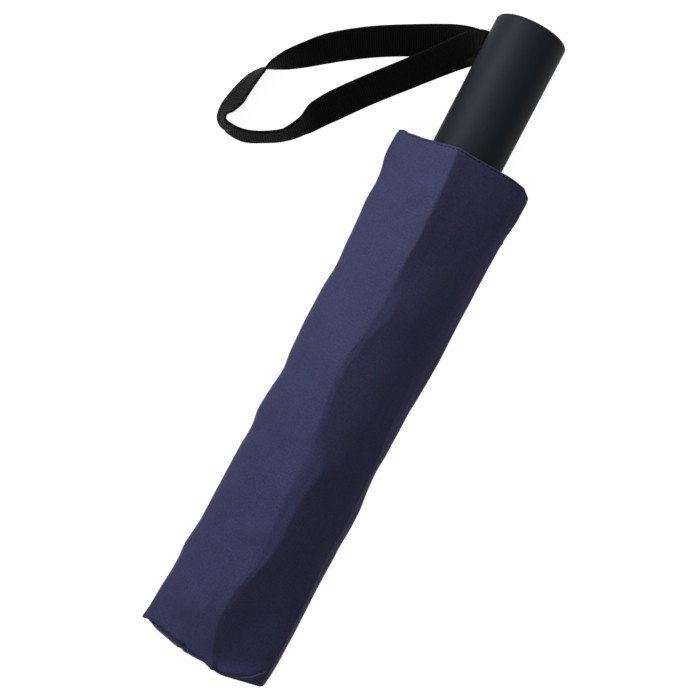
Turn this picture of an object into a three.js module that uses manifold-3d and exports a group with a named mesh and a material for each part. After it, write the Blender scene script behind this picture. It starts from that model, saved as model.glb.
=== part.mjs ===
// A compact three-fold umbrella, folded and packed in its fabric sleeve, lying on its side.
// Millimetres, +Z up. +X runs along the shaft towards the handle, x = 0 is half way between the
// butt of the handle and the base of the sleeve, and the surface it lies on is z = 0.
import * as THREE from "three";
import { mergeVertices } from "three/addons/utils/BufferGeometryUtils.js";
import Module from "manifold-3d";

const wasm = await Module();
wasm.setup();

// ---- Driving dimensions ----------------------------------------------------------------------

const overallLength = 290; // butt of the handle to the base of the sleeve
const gap = 0.3; // between pieces that touch or slide on each other
const roundSides = 32; // facets round a full turn
const pinSides = 16; // facets round a pin, a stud or a hole for one
const arcSteps = 4; // facets of a quarter round
const cutOver = 2; // how far a cutting shape reaches past the faces that it opens
const weldDistance = 1e-4; // corners closer than this are one corner

// Shaft: three fluted tubes, the widest one at the crown
const outerTubeRadius = 5.5;
const tubeWall = 0.5;
const fluteDepth = 0.5;
const fluteHalfAngle = THREE.MathUtils.degToRad(16);
const lockHoleSetback = 18; // lock hole to the open end of its tube
const tubeStagger = 2; // each tube ends this much before the next one, inside the handle

// Lock buttons: one sprung stud at the crown end of each sliding tube
const buttonRadius = 1.6;
const buttonSetback = 4;
const buttonLeafLength = 10;
const buttonLeafWidth = 3;
const buttonLeafThickness = 0.6;
const buttonLeafInset = 1; // leaf to the end of its tube
const buttonLeafShare = 0.45; // the leaf's height above the centreline, as a share of the bore
const buttonDomeHeight = 1;
const buttonHeadClearance = 0.1; // pressed head to the tube outside it

// Ribs: each arm is a main rib, a stretcher, a middle rib and an end rib, folded in layers
const armCount = 8;
const ribWidth = 2.6;
const ribWall = 0.5;
const stretcherHeight = 2;
const mainRibHeight = 2.2;
const middleRibHeight = 1.8;
const endRibRadius = 0.9;
const mainRibLength = 137; // from its hinge in the crown
const stretcherLength = 82;
const stretcherJoint = 80; // along the main rib, from the crown's hinge to the stretcher's
const openRibAngle = THREE.MathUtils.degToRad(80); // between an open main rib and the shaft
const tipRadius = 1.5;
const tipLength = 6;
const tipNeck = 0.5; // length over which the wire swells into its tip
const tipNose = 1; // length of the tip's tapered nose
const tipNoseRadius = 0.75;
const tipPathRadius = 11.6; // the tips lie on this circle, inside the handle's cup
const endRibBendStart = 60; // the end ribs start to bend inwards this far before the handle
const middleRibOverhang = 2; // the middle ribs reach this far past the ends of the main ribs

// Hinge wires: a ring through the ribs' eyes, in a groove round the crown or the runner
const wireRadius = 0.35;
const wireSides = 6;
const eyeLength = 2.4; // from the hinge to where the rib opens into its channel

// Crown, cap and runner
const crownLength = 10;
const crownShoulder = 2; // bevel under the cloth
const crownChamfer = 0.6;
const hingeSlotDepth = 6;
const capHeight = 4.5;
const capRadius = 9;
const capStemLength = 8;
const capStemRadius = 4.1;
const capStemChamfer = 0.5;
const capRim = 1.2; // straight edge below the dome
const runnerLength = 20;
const runnerWall = 1.1;
const runnerCollarRim = 1.3; // how far the runner's collar stands above its stretchers
const runnerCollarBack = 1.5; // solid collar behind the hinge slots
const runnerCollarBevel = 1;
const runnerGripRadius = 8.6;
const runnerLipHeight = 1;
const runnerLipLength = 2.4;
const runnerLipRamp = 1.6;
const runnerLipRound = 0.8;

// Runner catch: a bent leaf that pivots on a pin across the outer tube
const catchWidth = 2.4;
const catchLeaf = 0.8;
const catchReach = 17; // pivot to steep face
const catchRise = 2.1; // how far the leaf stands above the tube
const catchPinRadius = 0.8;
const catchPinHeight = 2.6; // above the shaft's centreline

// Canopy: the cloth rolled round the folded ribs, and its tie band
const canopyThickness = 1.9;
const pleatDepth = 1.1;
const pleatCount = 8;
const pleatFacets = 5;
const canopyShoulderLength = 14; // over which the roll grows to its full size
const canopyNeckMargin = 1; // the cloth at the crown is this much wider than the cap
const skirtSetback = 2; // canopy's edge to the top of the handle
const skirtTaper = 1.6;
const skirtTaperInside = 0.64; // the roll gets thinner as it narrows
const skirtTaperLength = 40;
const bandThickness = 0.5;
const bandWidth = 20;
const bandPlace = 22; // middle of the band
const snapRadius = 5.5;
const snapHeight = 1.6;
const snapRim = 0.6; // straight edge below the stud's dome

// Handle
const handleLength = 70;
const handleTopRadius = 15.6;
const handleButtRadius = 15.8;
const handleWall = 2.2;
const handleRimRadius = 1.5;
const handleTopEdge = 0.8;
const handleSides = 52; // facets round the grip
const cupDepth = 8;
const coreLength = 33;
const coreFlange = 3;
const coreBossWall = 2.4;
const coreFloor = 4;
const crossPinRadius = 1.2;
const capPlugThickness = 4.2;
const capPlugRecess = 0.6;
const capPlugChamfer = 0.6;

// Wrist strap: flat webbing that goes in through a slot and round a pin
const strapWidth = 15;
const strapThickness = 1.2;
const strapSlotPlace = 14; // middle of the slot to the butt
const strapSlotSlack = 1.8; // the slot is this much wider than two thicknesses
const strapSlotAngle = THREE.MathUtils.degToRad(-22); // below the horizontal, on the +Y side
const strapPinRadius = 1.5;
const strapPinOffset = 8.2; // pin to the shaft's centreline

// Sleeve: cloth with a crease down each side, a soft ridge along the top and a flat underside
const sleeveMouthSetback = 61.5; // mouth to the butt of the handle
const sleeveWall = 0.7;
const sleeveHemExtra = 0.5; // the hem is folded double
const sleeveHemWidth = 9;
const sleeveMouthHalf = 30.6;
const sleeveWaistHalf = 28.2;
const sleeveTailHalf = 28.9;
const sleeveRidgeRise = 27.2; // ridge above the shaft's centreline
const sleeveBottomHalf = 15;
const sleeveMouthFlare = 63; // length over which the mouth widens
const sleeveTailFlare = 68; // length over which the tail widens
const sleeveTailDrift = 2.2; // the tail lies this far to +Y
const sleeveDriftLength = 79;
const creaseSoftness = 2.6; // distance over which a side crease turns
const ridgeSoftness = 5;
const bottomSoftness = 5;
const softnessLoss = 0.32; // share of a corner's softness that its rounding takes off the corner
const sideBulge = 1.2; // of the walls beside the ridge and the +Y crease
const bottomBulge = 0.5;
const ridgeOffset = 2.6;
const ridgeSway = 2.2;
const ridgeSwayLength = 108; // one sway of the ridge, there and back
const ridgeSwayStart = 17; // the first sway starts this far outside the tail
const sleeveStations = 15;
const sleeveBaseWall = 0.8;
const sleeveBaseBulge = 1.2;
const sleeveBaseRings = [1, 0.8, 0.45]; // from the seam inwards, as shares of its distance from the middle
const sleeveTailRake = 2.4; // the ridge ends this much before the underside does
const sleeveRakeLength = 25;
const sleeveHemStep = 1; // length over which the wall doubles at the hem

// ---- Sizes that follow -----------------------------------------------------------------------

const butt = overallLength / 2;
const tail = -butt;

const middleTubeRadius = outerTubeRadius - tubeWall - gap;
const innerTubeRadius = middleTubeRadius - tubeWall - gap;

const stretcherFloor = outerTubeRadius + gap + runnerWall + gap;
const mainRibFloor = stretcherFloor + stretcherHeight + gap;
const middleRibFloor = mainRibFloor + mainRibHeight + gap;
const endRibPathRadius = middleRibFloor + middleRibHeight + gap + endRibRadius;
const canopyInner = endRibPathRadius + endRibRadius + gap;
const canopyRadius = canopyInner + canopyThickness;
const bandRadius = canopyRadius + gap + bandThickness;
const sleeveSlack = sleeveHemExtra + gap; // the hem still passes over the tie band
const axisHeight = bandRadius + sleeveSlack + sleeveWall;

const handleTop = butt - handleLength;
const handleBore = handleTopRadius - handleWall;
const coreTop = handleTop + cupDepth;
const coreEnd = coreTop + coreLength;
const plugEnd = butt - capPlugRecess;
const plugStart = plugEnd - capPlugThickness;
const strapPlace = butt - strapSlotPlace;

const sleeveMouth = butt - sleeveMouthSetback;
const sleeveBaseRim = tail + sleeveBaseBulge + sleeveBaseWall;
const sleeveTail = sleeveBaseRim + gap;

const capTip = sleeveTail + gap;
const capSeat = capTip + capHeight;
const canopyStart = capSeat + gap;
const crownStart = canopyStart + canopyThickness + gap;
const crownEnd = crownStart + crownLength;
const crownRadius = middleRibFloor;
const crownHinge = crownEnd - hingeSlotDepth / 2;
const crownHingeRadius = mainRibFloor + mainRibHeight / 2;
const runnerHingeRadius = stretcherFloor + stretcherHeight / 2;
const runnerHinge = crownHinge + stretcherJoint + stretcherLength;
const runnerStart = runnerHinge - hingeSlotDepth / 2;
const runnerCollarRadius = stretcherFloor + stretcherHeight + runnerCollarRim;
const skirtEnd = handleTop - skirtSetback;

const outerTubeEnd = coreTop - 2 * tubeStagger;
const middleTubeEnd = coreTop - tubeStagger;
// Where the runner's lower edge stops when the canopy is open, from the triangle of rib and stretcher
const openHingeDrop =
  stretcherJoint * Math.cos(openRibAngle) +
  Math.sqrt(stretcherLength ** 2 - (stretcherJoint * Math.sin(openRibAngle)) ** 2);
const catchTip = crownHinge + openHingeDrop + runnerLength - hingeSlotDepth / 2 + gap;
const catchPivot = catchTip + catchReach;
const middleTubeStart = catchPivot + catchPinRadius + tubeStagger;
const middleButton = middleTubeStart + buttonSetback;
const innerTubeStart = middleButton + buttonLeafLength + gap;
const innerButton = innerTubeStart + buttonSetback;
const innerTubeEnd = coreEnd - coreFloor - gap;

// ---- Finishes --------------------------------------------------------------------------------

const finish = (color, roughness, metalness = 0) =>
  new THREE.MeshStandardMaterial({ color, roughness, metalness });

const navyCloth = finish(0x33334e, 0.85);
const blackHandle = finish(0x26282b, 0.6);
const blackWebbing = finish(0x141518, 0.8);
const blackMoulding = finish(0x1b1c1e, 0.55);
const brightSteel = finish(0xb4b7ba, 0.3, 1);
const blackSteel = finish(0x2a2b2d, 0.45, 1);

// ---- Solids ----------------------------------------------------------------------------------

// Turns a geometry made along +Z so that it runs along +X, with its own x on Y and its own y on Z.
const alongShaft = new THREE.Matrix4().set(0, 0, 1, 0, 1, 0, 0, 0, 0, 1, 0, 0, 0, 0, 0, 1);

// A geometry as a manifold-3d solid, from positions alone.
function toSolid(geometry) {
  const bare = geometry.index ? geometry.toNonIndexed() : geometry.clone();
  bare.deleteAttribute("normal");
  bare.deleteAttribute("uv");
  const welded = mergeVertices(bare, weldDistance);
  return new wasm.Manifold(
    new wasm.Mesh({
      numProp: 3,
      vertProperties: welded.attributes.position.array,
      triVerts: new Uint32Array(welded.index.array),
    }),
  );
}

// A manifold-3d solid as a geometry with flat faces.
function toGeometry(solid) {
  const { vertProperties, triVerts } = solid.getMesh();
  const geometry = new THREE.BufferGeometry();
  geometry.setAttribute("position", new THREE.BufferAttribute(vertProperties, 3));
  geometry.setIndex(new THREE.BufferAttribute(triVerts, 1));
  const flat = geometry.toNonIndexed();
  flat.computeVertexNormals();
  return flat;
}

const cut = (geometry, ...tools) =>
  toGeometry(tools.reduce((rest, tool) => rest.subtract(toSolid(tool)), toSolid(geometry)));

const join = (...geometries) =>
  toGeometry(geometries.map(toSolid).reduce((sum, solid) => sum.add(solid)));

// Revolves a profile of [x, radius] points round the shaft. It runs towards the handle along the
// outside, then back along the bore to where it started, or it starts and ends on the shaft's axis.
function revolve(profile, sides = roundSides) {
  const startsOnAxis = profile[0][1] === 0;
  const closed = startsOnAxis ? profile : [...profile, profile[0]];
  const points = closed.map(([x, radius]) => new THREE.Vector2(radius, x));
  const geometry = new THREE.LatheGeometry(points, sides);
  geometry.rotateZ(-Math.PI / 2);
  return geometry;
}

// Points of a quarter round between two tangents, from one angle to another, as [x, radius].
function arcPoints(x, radius, size, fromDegrees, toDegrees) {
  return Array.from({ length: arcSteps + 1 }, (_, step) => {
    const degrees = THREE.MathUtils.lerp(fromDegrees, toDegrees, step / arcSteps);
    const angle = THREE.MathUtils.degToRad(degrees);
    return [x + size * Math.cos(angle), radius + size * Math.sin(angle)];
  });
}

// Points of a dome, a quarter ellipse from its top on the axis down to its rim, as [depth, radius].
function domePoints(depth, radius) {
  return Array.from({ length: arcSteps + 1 }, (_, step) => {
    const angle = (0.5 * Math.PI * step) / arcSteps;
    return [depth * (1 - Math.cos(angle)), radius * Math.sin(angle)];
  });
}

// Extrudes an outline, whose x lies on Y and y on Z, along the shaft from one place to another.
function extrudeAlong(outline, from, to) {
  const geometry = new THREE.ExtrudeGeometry(outline, { depth: to - from, bevelEnabled: false });
  geometry.applyMatrix4(alongShaft);
  geometry.translate(from, 0, 0);
  return geometry;
}

// Joins rings of equal length with quads. A loop joins the last ring to the first, as on a tube
// with a wall, and otherwise the first and last rings are closed with flat or nearly flat caps.
function stackRings(rings, { loop = false } = {}) {
  const count = rings[0].length;
  const positions = rings.flat().flatMap((point) => [point.x, point.y, point.z]);
  const indices = [];
  const bands = loop ? rings.length : rings.length - 1;
  for (let band = 0; band < bands; band += 1) {
    const near = band * count;
    const far = ((band + 1) % rings.length) * count;
    for (let side = 0; side < count; side += 1) {
      const next = (side + 1) % count;
      indices.push(near + side, near + next, far + next);
      indices.push(near + side, far + next, far + side);
    }
  }
  if (!loop) {
    const outline = rings[0].map((point) => new THREE.Vector2(point.y, point.z));
    const cap = THREE.ShapeUtils.triangulateShape(outline, []);
    const last = (rings.length - 1) * count;
    cap.forEach(([a, b, c]) => {
      indices.push(a, c, b);
      indices.push(last + a, last + b, last + c);
    });
  }
  const geometry = new THREE.BufferGeometry();
  geometry.setAttribute("position", new THREE.Float32BufferAttribute(positions, 3));
  geometry.setIndex(indices);
  const flat = geometry.toNonIndexed();
  flat.computeVertexNormals();
  return flat;
}

// A cylinder across the shaft, on Z by default, centred on x.
function crossCylinder(x, radius, zFrom, zTo) {
  const geometry = new THREE.CylinderGeometry(radius, radius, zTo - zFrom, pinSides);
  geometry.rotateX(Math.PI / 2);
  geometry.translate(x, 0, (zFrom + zTo) / 2);
  return geometry;
}

function block(xFrom, xTo, width, zFrom, zTo) {
  const geometry = new THREE.BoxGeometry(xTo - xFrom, width, zTo - zFrom);
  geometry.translate((xFrom + xTo) / 2, 0, (zFrom + zTo) / 2);
  return geometry;
}

// ---- Scene graph -----------------------------------------------------------------------------

const umbrella = new THREE.Group();
umbrella.name = "folding_umbrella";
umbrella.position.z = axisHeight;

function addPiece(name, geometry, material) {
  const mesh = new THREE.Mesh(geometry, material);
  mesh.name = name;
  umbrella.add(mesh);
  return mesh;
}

// ---- Shaft -----------------------------------------------------------------------------------

// A circle with one shallow flute on its -Y side, which keeps the tubes from turning.
function flutedOutline(radius) {
  return Array.from({ length: roundSides }, (_, side) => {
    const angle = (2 * Math.PI * side) / roundSides;
    const fromFlute = Math.abs(angle - Math.PI);
    const dip = fromFlute < fluteHalfAngle ? Math.cos((fromFlute / fluteHalfAngle) * (Math.PI / 2)) : 0;
    const r = radius - fluteDepth * dip;
    return new THREE.Vector2(r * Math.cos(angle), r * Math.sin(angle));
  });
}

function flutedTube(radius, from, to) {
  const outline = new THREE.Shape(flutedOutline(radius));
  outline.holes.push(new THREE.Path(flutedOutline(radius - tubeWall)));
  return extrudeAlong(outline, from, to);
}

const lockHole = (x, radius) => crossCylinder(x, buttonRadius + gap, -radius - cutOver, 0);
const catchPinHole = (radius) => {
  const hole = crossCylinder(0, radius, -outerTubeRadius - cutOver, outerTubeRadius + cutOver);
  hole.rotateX(Math.PI / 2);
  hole.translate(catchPivot, 0, catchPinHeight);
  return hole;
};

function makeTubes() {
  const outerHole = outerTubeEnd - lockHoleSetback;
  const middleHole = middleTubeEnd - lockHoleSetback;
  const crossPinPlace = (coreTop + coreEnd) / 2;
  const catchSlot = block(
    catchTip - 2 * gap,
    catchPivot - catchPinRadius - gap,
    catchWidth + 2 * gap,
    catchPinHeight + catchPinRadius + 2 * gap,
    outerTubeRadius + cutOver,
  );
  addPiece(
    "tube_outer",
    cut(
      flutedTube(outerTubeRadius, canopyStart, outerTubeEnd),
      lockHole(outerHole, outerTubeRadius),
      catchSlot,
      catchPinHole(catchPinRadius + gap),
    ),
    brightSteel,
  );
  addPiece(
    "tube_middle",
    cut(
      flutedTube(middleTubeRadius, middleTubeStart, middleTubeEnd),
      lockHole(middleButton, middleTubeRadius),
      lockHole(middleHole, middleTubeRadius),
    ),
    brightSteel,
  );
  addPiece(
    "tube_inner",
    cut(
      flutedTube(innerTubeRadius, innerTubeStart, innerTubeEnd),
      lockHole(innerButton, innerTubeRadius),
      crossCylinder(crossPinPlace, crossPinRadius + gap, -handleBore, handleBore),
    ),
    brightSteel,
  );
}

// A round-headed stud on a flat leaf inside its tube, held in by the wall of the tube outside it.
function lockButton(x, tubeRadius) {
  const head = -(tubeRadius + gap - buttonHeadClearance);
  const leafTop = -(tubeRadius - tubeWall) * buttonLeafShare;
  const profile = domePoints(buttonDomeHeight, buttonRadius).map(([depth, r]) => [head + depth, r]);
  profile.push([leafTop, buttonRadius], [leafTop, 0]);
  const dome = new THREE.LatheGeometry(
    profile.map(([height, r]) => new THREE.Vector2(r, height)),
    pinSides,
  );
  dome.rotateX(Math.PI / 2);
  dome.translate(x, 0, 0);
  const leaf = block(
    x - buttonSetback + buttonLeafInset,
    x - buttonSetback + buttonLeafLength,
    buttonLeafWidth,
    leafTop - buttonLeafThickness,
    leafTop,
  );
  return join(dome, leaf);
}

function makeLockButtons() {
  addPiece("lock_button_upper", lockButton(middleButton, middleTubeRadius), brightSteel);
  addPiece("lock_button_lower", lockButton(innerButton, innerTubeRadius), brightSteel);
}

// A bent spring leaf: it ramps up towards the crown, then turns down in a steep face.
function makeRunnerCatch() {
  const top = outerTubeRadius + catchRise;
  const eye = catchPinRadius + gap + catchLeaf;
  const outline = new THREE.Shape();
  outline.moveTo(catchPivot, catchPinHeight + eye);
  outline.lineTo(catchTip + catchLeaf, top);
  outline.lineTo(catchTip, top - catchLeaf / 2);
  outline.lineTo(catchTip, catchPinHeight);
  outline.lineTo(catchTip + catchLeaf, catchPinHeight);
  outline.lineTo(catchTip + catchLeaf, top - catchLeaf);
  outline.lineTo(catchPivot - eye, catchPinHeight);
  outline.absarc(catchPivot, catchPinHeight, eye, Math.PI, 2.5 * Math.PI, false);
  const eyeHole = new THREE.Path();
  eyeHole.absarc(catchPivot, catchPinHeight, catchPinRadius + gap, 0, 2 * Math.PI, true);
  outline.holes.push(eyeHole);
  const leaf = new THREE.ExtrudeGeometry(outline, {
    depth: catchWidth,
    bevelEnabled: false,
    curveSegments: 10,
  });
  leaf.rotateX(Math.PI / 2);
  leaf.translate(0, catchWidth / 2, 0);
  addPiece("runner_catch", leaf, brightSteel);

  const halfPin = Math.sqrt(outerTubeRadius ** 2 - (catchPinHeight + catchPinRadius) ** 2);
  const pin = crossCylinder(0, catchPinRadius, -halfPin, halfPin);
  pin.rotateX(Math.PI / 2);
  pin.translate(catchPivot, 0, catchPinHeight);
  addPiece("runner_catch_pin", pin, brightSteel);
}

// ---- Crown, cap and runner -------------------------------------------------------------------

// Cuts one radial slot for each arm, from a floor outwards, so that the hinged ends sit in it, and
// a groove round the piece for the wire that they turn on.
function cutHingeSlots(geometry, from, to, floor, hinge, hingeRadius) {
  const slots = Array.from({ length: armCount }, (_, arm) => {
    const slot = block(from, to, ribWidth + 2 * gap, floor, canopyInner);
    slot.rotateX(armAngle(arm));
    return slot;
  });
  const half = wireRadius + gap;
  const groove = revolve([
    [hinge - half, canopyInner],
    [hinge + half, canopyInner],
    [hinge + half, hingeRadius - half],
    [hinge - half, hingeRadius - half],
  ]);
  return cut(geometry, ...slots, groove);
}

// A ring of wire whose facets lie square to the ribs' eyes.
function makeHingeWire(name, hinge, hingeRadius) {
  const facets = 3 * armCount;
  const ringRadius = hingeRadius / Math.cos(Math.PI / facets);
  const wire = new THREE.TorusGeometry(ringRadius, wireRadius, wireSides, facets);
  wire.rotateY(Math.PI / 2);
  wire.translate(hinge, 0, 0);
  addPiece(name, wire, brightSteel);
}

// Arms are spaced evenly, and none lies straight above or below the shaft.
const armAngle = (arm) => ((arm + 0.5) * 2 * Math.PI) / armCount;

function makeCrown() {
  const bore = outerTubeRadius + gap;
  const blank = revolve([
    [crownStart, crownRadius - crownShoulder],
    [crownStart + crownShoulder, crownRadius],
    [crownEnd - crownChamfer, crownRadius],
    [crownEnd, crownRadius - crownChamfer],
    [crownEnd, bore],
    [crownStart, bore],
  ]);
  const slotStart = crownEnd - hingeSlotDepth;
  const floor = mainRibFloor - gap;
  const crown = cutHingeSlots(blank, slotStart, crownEnd + cutOver, floor, crownHinge, crownHingeRadius);
  addPiece("crown", crown, blackMoulding);
  makeHingeWire("crown_wire", crownHinge, crownHingeRadius);
}

// A shallow dome over the cloth at the crown, with a stem that fills the end of the tube.
function makeTopCap() {
  const dome = domePoints(capHeight - capRim, capRadius).map(([depth, r]) => [capTip + depth, r]);
  const cap = revolve([
    ...dome,
    [capSeat, capRadius],
    [capSeat, capStemRadius],
    [capSeat + capStemLength - capStemChamfer, capStemRadius],
    [capSeat + capStemLength, capStemRadius - capStemChamfer],
    [capSeat + capStemLength, 0],
  ]);
  addPiece("top_cap", cap, blackMoulding);
}

function makeRunner() {
  const bore = outerTubeRadius + gap;
  const collarEnd = runnerStart + hingeSlotDepth + runnerCollarBack;
  const end = runnerStart + runnerLength;
  const lipRadius = runnerGripRadius + runnerLipHeight;
  const blank = revolve([
    [runnerStart, runnerCollarRadius],
    [collarEnd, runnerCollarRadius],
    [collarEnd + runnerCollarBevel, runnerGripRadius],
    [end - runnerLipLength - runnerLipRamp, runnerGripRadius],
    [end - runnerLipLength, lipRadius],
    [end - runnerLipRound, lipRadius],
    [end, lipRadius - runnerLipRound],
    [end, bore],
    [runnerStart, bore],
  ]);
  const slotEnd = runnerStart + hingeSlotDepth;
  const floor = stretcherFloor - gap;
  const runner = cutHingeSlots(blank, runnerStart - cutOver, slotEnd, floor, runnerHinge, runnerHingeRadius);
  addPiece("runner", runner, blackMoulding);
  makeHingeWire("runner_wire", runnerHinge, runnerHingeRadius);
}

// ---- Ribs ------------------------------------------------------------------------------------

// A channel, open towards the shaft, that lies above it at a given height.
function channelBar(from, to, floor, height) {
  const half = ribWidth / 2;
  const innerHalf = half - ribWall;
  const ceiling = floor + height - ribWall;
  const outline = new THREE.Shape([
    new THREE.Vector2(-half, floor),
    new THREE.Vector2(-innerHalf, floor),
    new THREE.Vector2(-innerHalf, ceiling),
    new THREE.Vector2(innerHalf, ceiling),
    new THREE.Vector2(innerHalf, floor),
    new THREE.Vector2(half, floor),
    new THREE.Vector2(half, floor + height),
    new THREE.Vector2(-half, floor + height),
  ]);
  return extrudeAlong(outline, from, to);
}

// A rib's hinged end: the channel closes into a solid tongue with a round end and a bore for the
// hinge wire. It reaches from the hinge along the rib, in the direction of its sign.
function hingeEye(hinge, sign, floor, height) {
  const radius = height / 2;
  const outline = new THREE.Shape();
  outline.moveTo(eyeLength, radius);
  outline.absarc(0, 0, radius, Math.PI / 2, 1.5 * Math.PI, false);
  outline.lineTo(eyeLength, -radius);
  const bore = new THREE.Path();
  bore.absarc(0, 0, wireRadius + gap, 0, 2 * Math.PI, true);
  outline.holes.push(bore);
  const eye = new THREE.ExtrudeGeometry(outline, { depth: ribWidth, bevelEnabled: false, curveSegments: 3 });
  eye.translate(0, 0, -ribWidth / 2);
  eye.rotateX(Math.PI / 2);
  if (sign < 0) eye.rotateZ(Math.PI);
  eye.translate(hinge, 0, floor + radius);
  return eye;
}

// A wire that runs straight along the bundle, bends inwards and ends in a moulded tip.
function endRib() {
  const sides = 6;
  const bendStart = handleTop - endRibBendStart;
  const tipEnd = coreTop - 2 * tubeStagger;
  const tipStart = tipEnd - tipLength;
  const bendAt = (x) => {
    const along = THREE.MathUtils.smoothstep(x, bendStart, tipStart);
    return THREE.MathUtils.lerp(endRibPathRadius, tipPathRadius, along);
  };
  const bendSteps = 4;
  const bend = Array.from({ length: bendSteps + 1 }, (_, step) => {
    const x = THREE.MathUtils.lerp(bendStart, tipStart, step / bendSteps);
    return [x, bendAt(x), endRibRadius];
  });
  const stations = [
    [crownEnd, endRibPathRadius, endRibRadius],
    ...bend,
    [tipStart + tipNeck, tipPathRadius, tipRadius],
    [tipEnd - tipNose, tipPathRadius, tipRadius],
    [tipEnd, tipPathRadius, tipNoseRadius],
  ];
  return stackRings(
    stations.map(([x, height, radius]) =>
      Array.from({ length: sides }, (_, side) => {
        const angle = (2 * Math.PI * (side + 0.5)) / sides;
        return new THREE.Vector3(x, radius * Math.cos(angle), height + radius * Math.sin(angle));
      }),
    ),
  );
}

function makeArms() {
  const mainEnd = crownHinge + mainRibLength;
  const intoEye = eyeLength / 2; // each channel starts inside its eye, so that they join
  const mainChannel = channelBar(crownHinge + intoEye, mainEnd, mainRibFloor, mainRibHeight);
  const mainEye = hingeEye(crownHinge, 1, mainRibFloor, mainRibHeight);
  const middleStart = crownEnd + 2 * gap;
  const middleEnd = mainEnd + middleRibOverhang;
  const stretcherStart = crownHinge + stretcherJoint - hingeSlotDepth / 2;
  const stretcherEnd = runnerHinge - intoEye;
  const stretcherChannel = channelBar(stretcherStart, stretcherEnd, stretcherFloor, stretcherHeight);
  const stretcherEye = hingeEye(runnerHinge, -1, stretcherFloor, stretcherHeight);
  const segments = {
    main: join(mainChannel, mainEye),
    stretcher: join(stretcherChannel, stretcherEye),
    middle: channelBar(middleStart, middleEnd, middleRibFloor, middleRibHeight),
    end: endRib(),
  };
  for (let arm = 0; arm < armCount; arm += 1) {
    Object.entries(segments).forEach(([segment, geometry]) => {
      const piece = addPiece(`rib_${arm + 1}_${segment}`, geometry, blackSteel);
      piece.rotation.x = armAngle(arm);
    });
  }
}

// ---- Canopy ----------------------------------------------------------------------------------

// Radius of the rolled cloth at a place and an angle: overlapping pleats, like a blunt saw.
function canopyOuter(x, angle) {
  const shoulder = Math.sqrt(THREE.MathUtils.clamp((x - canopyStart) / canopyShoulderLength, 0, 1));
  const crownTaper = THREE.MathUtils.lerp(capRadius + canopyNeckMargin, canopyRadius, shoulder);
  const skirt = skirtTaper * THREE.MathUtils.smoothstep(x, skirtEnd - skirtTaperLength, skirtEnd);
  const turn = (angle * pleatCount) / (2 * Math.PI);
  const saw = turn - Math.floor(turn);
  return crownTaper - skirt - pleatDepth * saw * shoulder;
}

// The inside of the roll: it clears the crown, lies on the end ribs and follows them inwards.
function canopyInside(x) {
  const shoulder = THREE.MathUtils.smoothstep(x, crownStart - gap, crownEnd - gap);
  const overCrown = THREE.MathUtils.lerp(crownRadius + gap, canopyInner, Math.sqrt(shoulder));
  return overCrown - skirtTaperInside * THREE.MathUtils.smoothstep(x, skirtEnd - skirtTaperLength, skirtEnd);
}

function makeCanopy() {
  const sides = pleatCount * pleatFacets;
  const ring = (x, radiusAt) =>
    Array.from({ length: sides }, (_, side) => {
      const angle = (2 * Math.PI * side) / sides;
      const radius = radiusAt(angle);
      return new THREE.Vector3(x, radius * Math.cos(angle), radius * Math.sin(angle));
    });
  const taperPlaces = [1, 0.5, 0].map((share) => skirtEnd - share * skirtTaperLength);
  const shoulderPlaces = Array.from(
    { length: arcSteps + 1 },
    (_, step) => canopyStart + canopyShoulderLength * (step / arcSteps) ** 2,
  );
  const crownPlaces = [1, 0.6, 0.2].map((share) => crownStart + share * crownLength);
  const outerPlaces = [...shoulderPlaces, ...taperPlaces];
  const innerPlaces = [...taperPlaces.toReversed(), ...crownPlaces];
  const floor = crownStart - gap;
  addPiece(
    "canopy",
    stackRings(
      [
        ...outerPlaces.map((x) => ring(x, (angle) => canopyOuter(x, angle))),
        ...innerPlaces.map((x) => ring(x, () => canopyInside(x))),
        ring(floor, () => canopyInside(floor) - gap),
        ring(floor, () => outerTubeRadius + gap),
        ring(canopyStart, () => outerTubeRadius + gap),
      ],
      { loop: true },
    ),
    navyCloth,
  );
}

function makeTieBand() {
  const from = bandPlace - bandWidth / 2;
  const to = bandPlace + bandWidth / 2;
  addPiece(
    "tie_band",
    revolve([
      [from, bandRadius],
      [to, bandRadius],
      [to, bandRadius - bandThickness],
      [from, bandRadius - bandThickness],
    ]),
    navyCloth,
  );
  const base = bandRadius + gap;
  const top = base + snapHeight;
  const dome = domePoints(snapHeight - snapRim, snapRadius).map(([depth, r]) => [top - depth, r]);
  const profile = [[base, 0], [base, snapRadius], ...dome.toReversed()];
  const snap = new THREE.LatheGeometry(
    profile.map(([height, r]) => new THREE.Vector2(r, height)),
    pinSides,
  );
  snap.rotateX(Math.PI / 2);
  snap.translate(bandPlace, 0, 0);
  addPiece("tie_snap", snap, blackMoulding);
}

// ---- Handle ----------------------------------------------------------------------------------

function makeHandleShell() {
  const rim = arcPoints(butt - handleRimRadius, handleButtRadius - handleRimRadius, handleRimRadius, 90, 0);
  const edgeRadius = handleTopRadius - handleTopEdge;
  const topEdge = arcPoints(handleTop + handleTopEdge, edgeRadius, handleTopEdge, 180, 90);
  const shell = revolve([...topEdge, ...rim, [butt, handleBore], [handleTop, handleBore]], handleSides);
  const slot = block(
    strapPlace - strapWidth / 2 - 2 * gap,
    strapPlace + strapWidth / 2 + 2 * gap,
    2 * strapThickness + strapSlotSlack,
    handleBore - cutOver,
    handleButtRadius + cutOver,
  );
  slot.rotateX(strapSlotAngle - Math.PI / 2);
  addPiece("handle_shell", cut(shell, slot), blackHandle);
}

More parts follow.
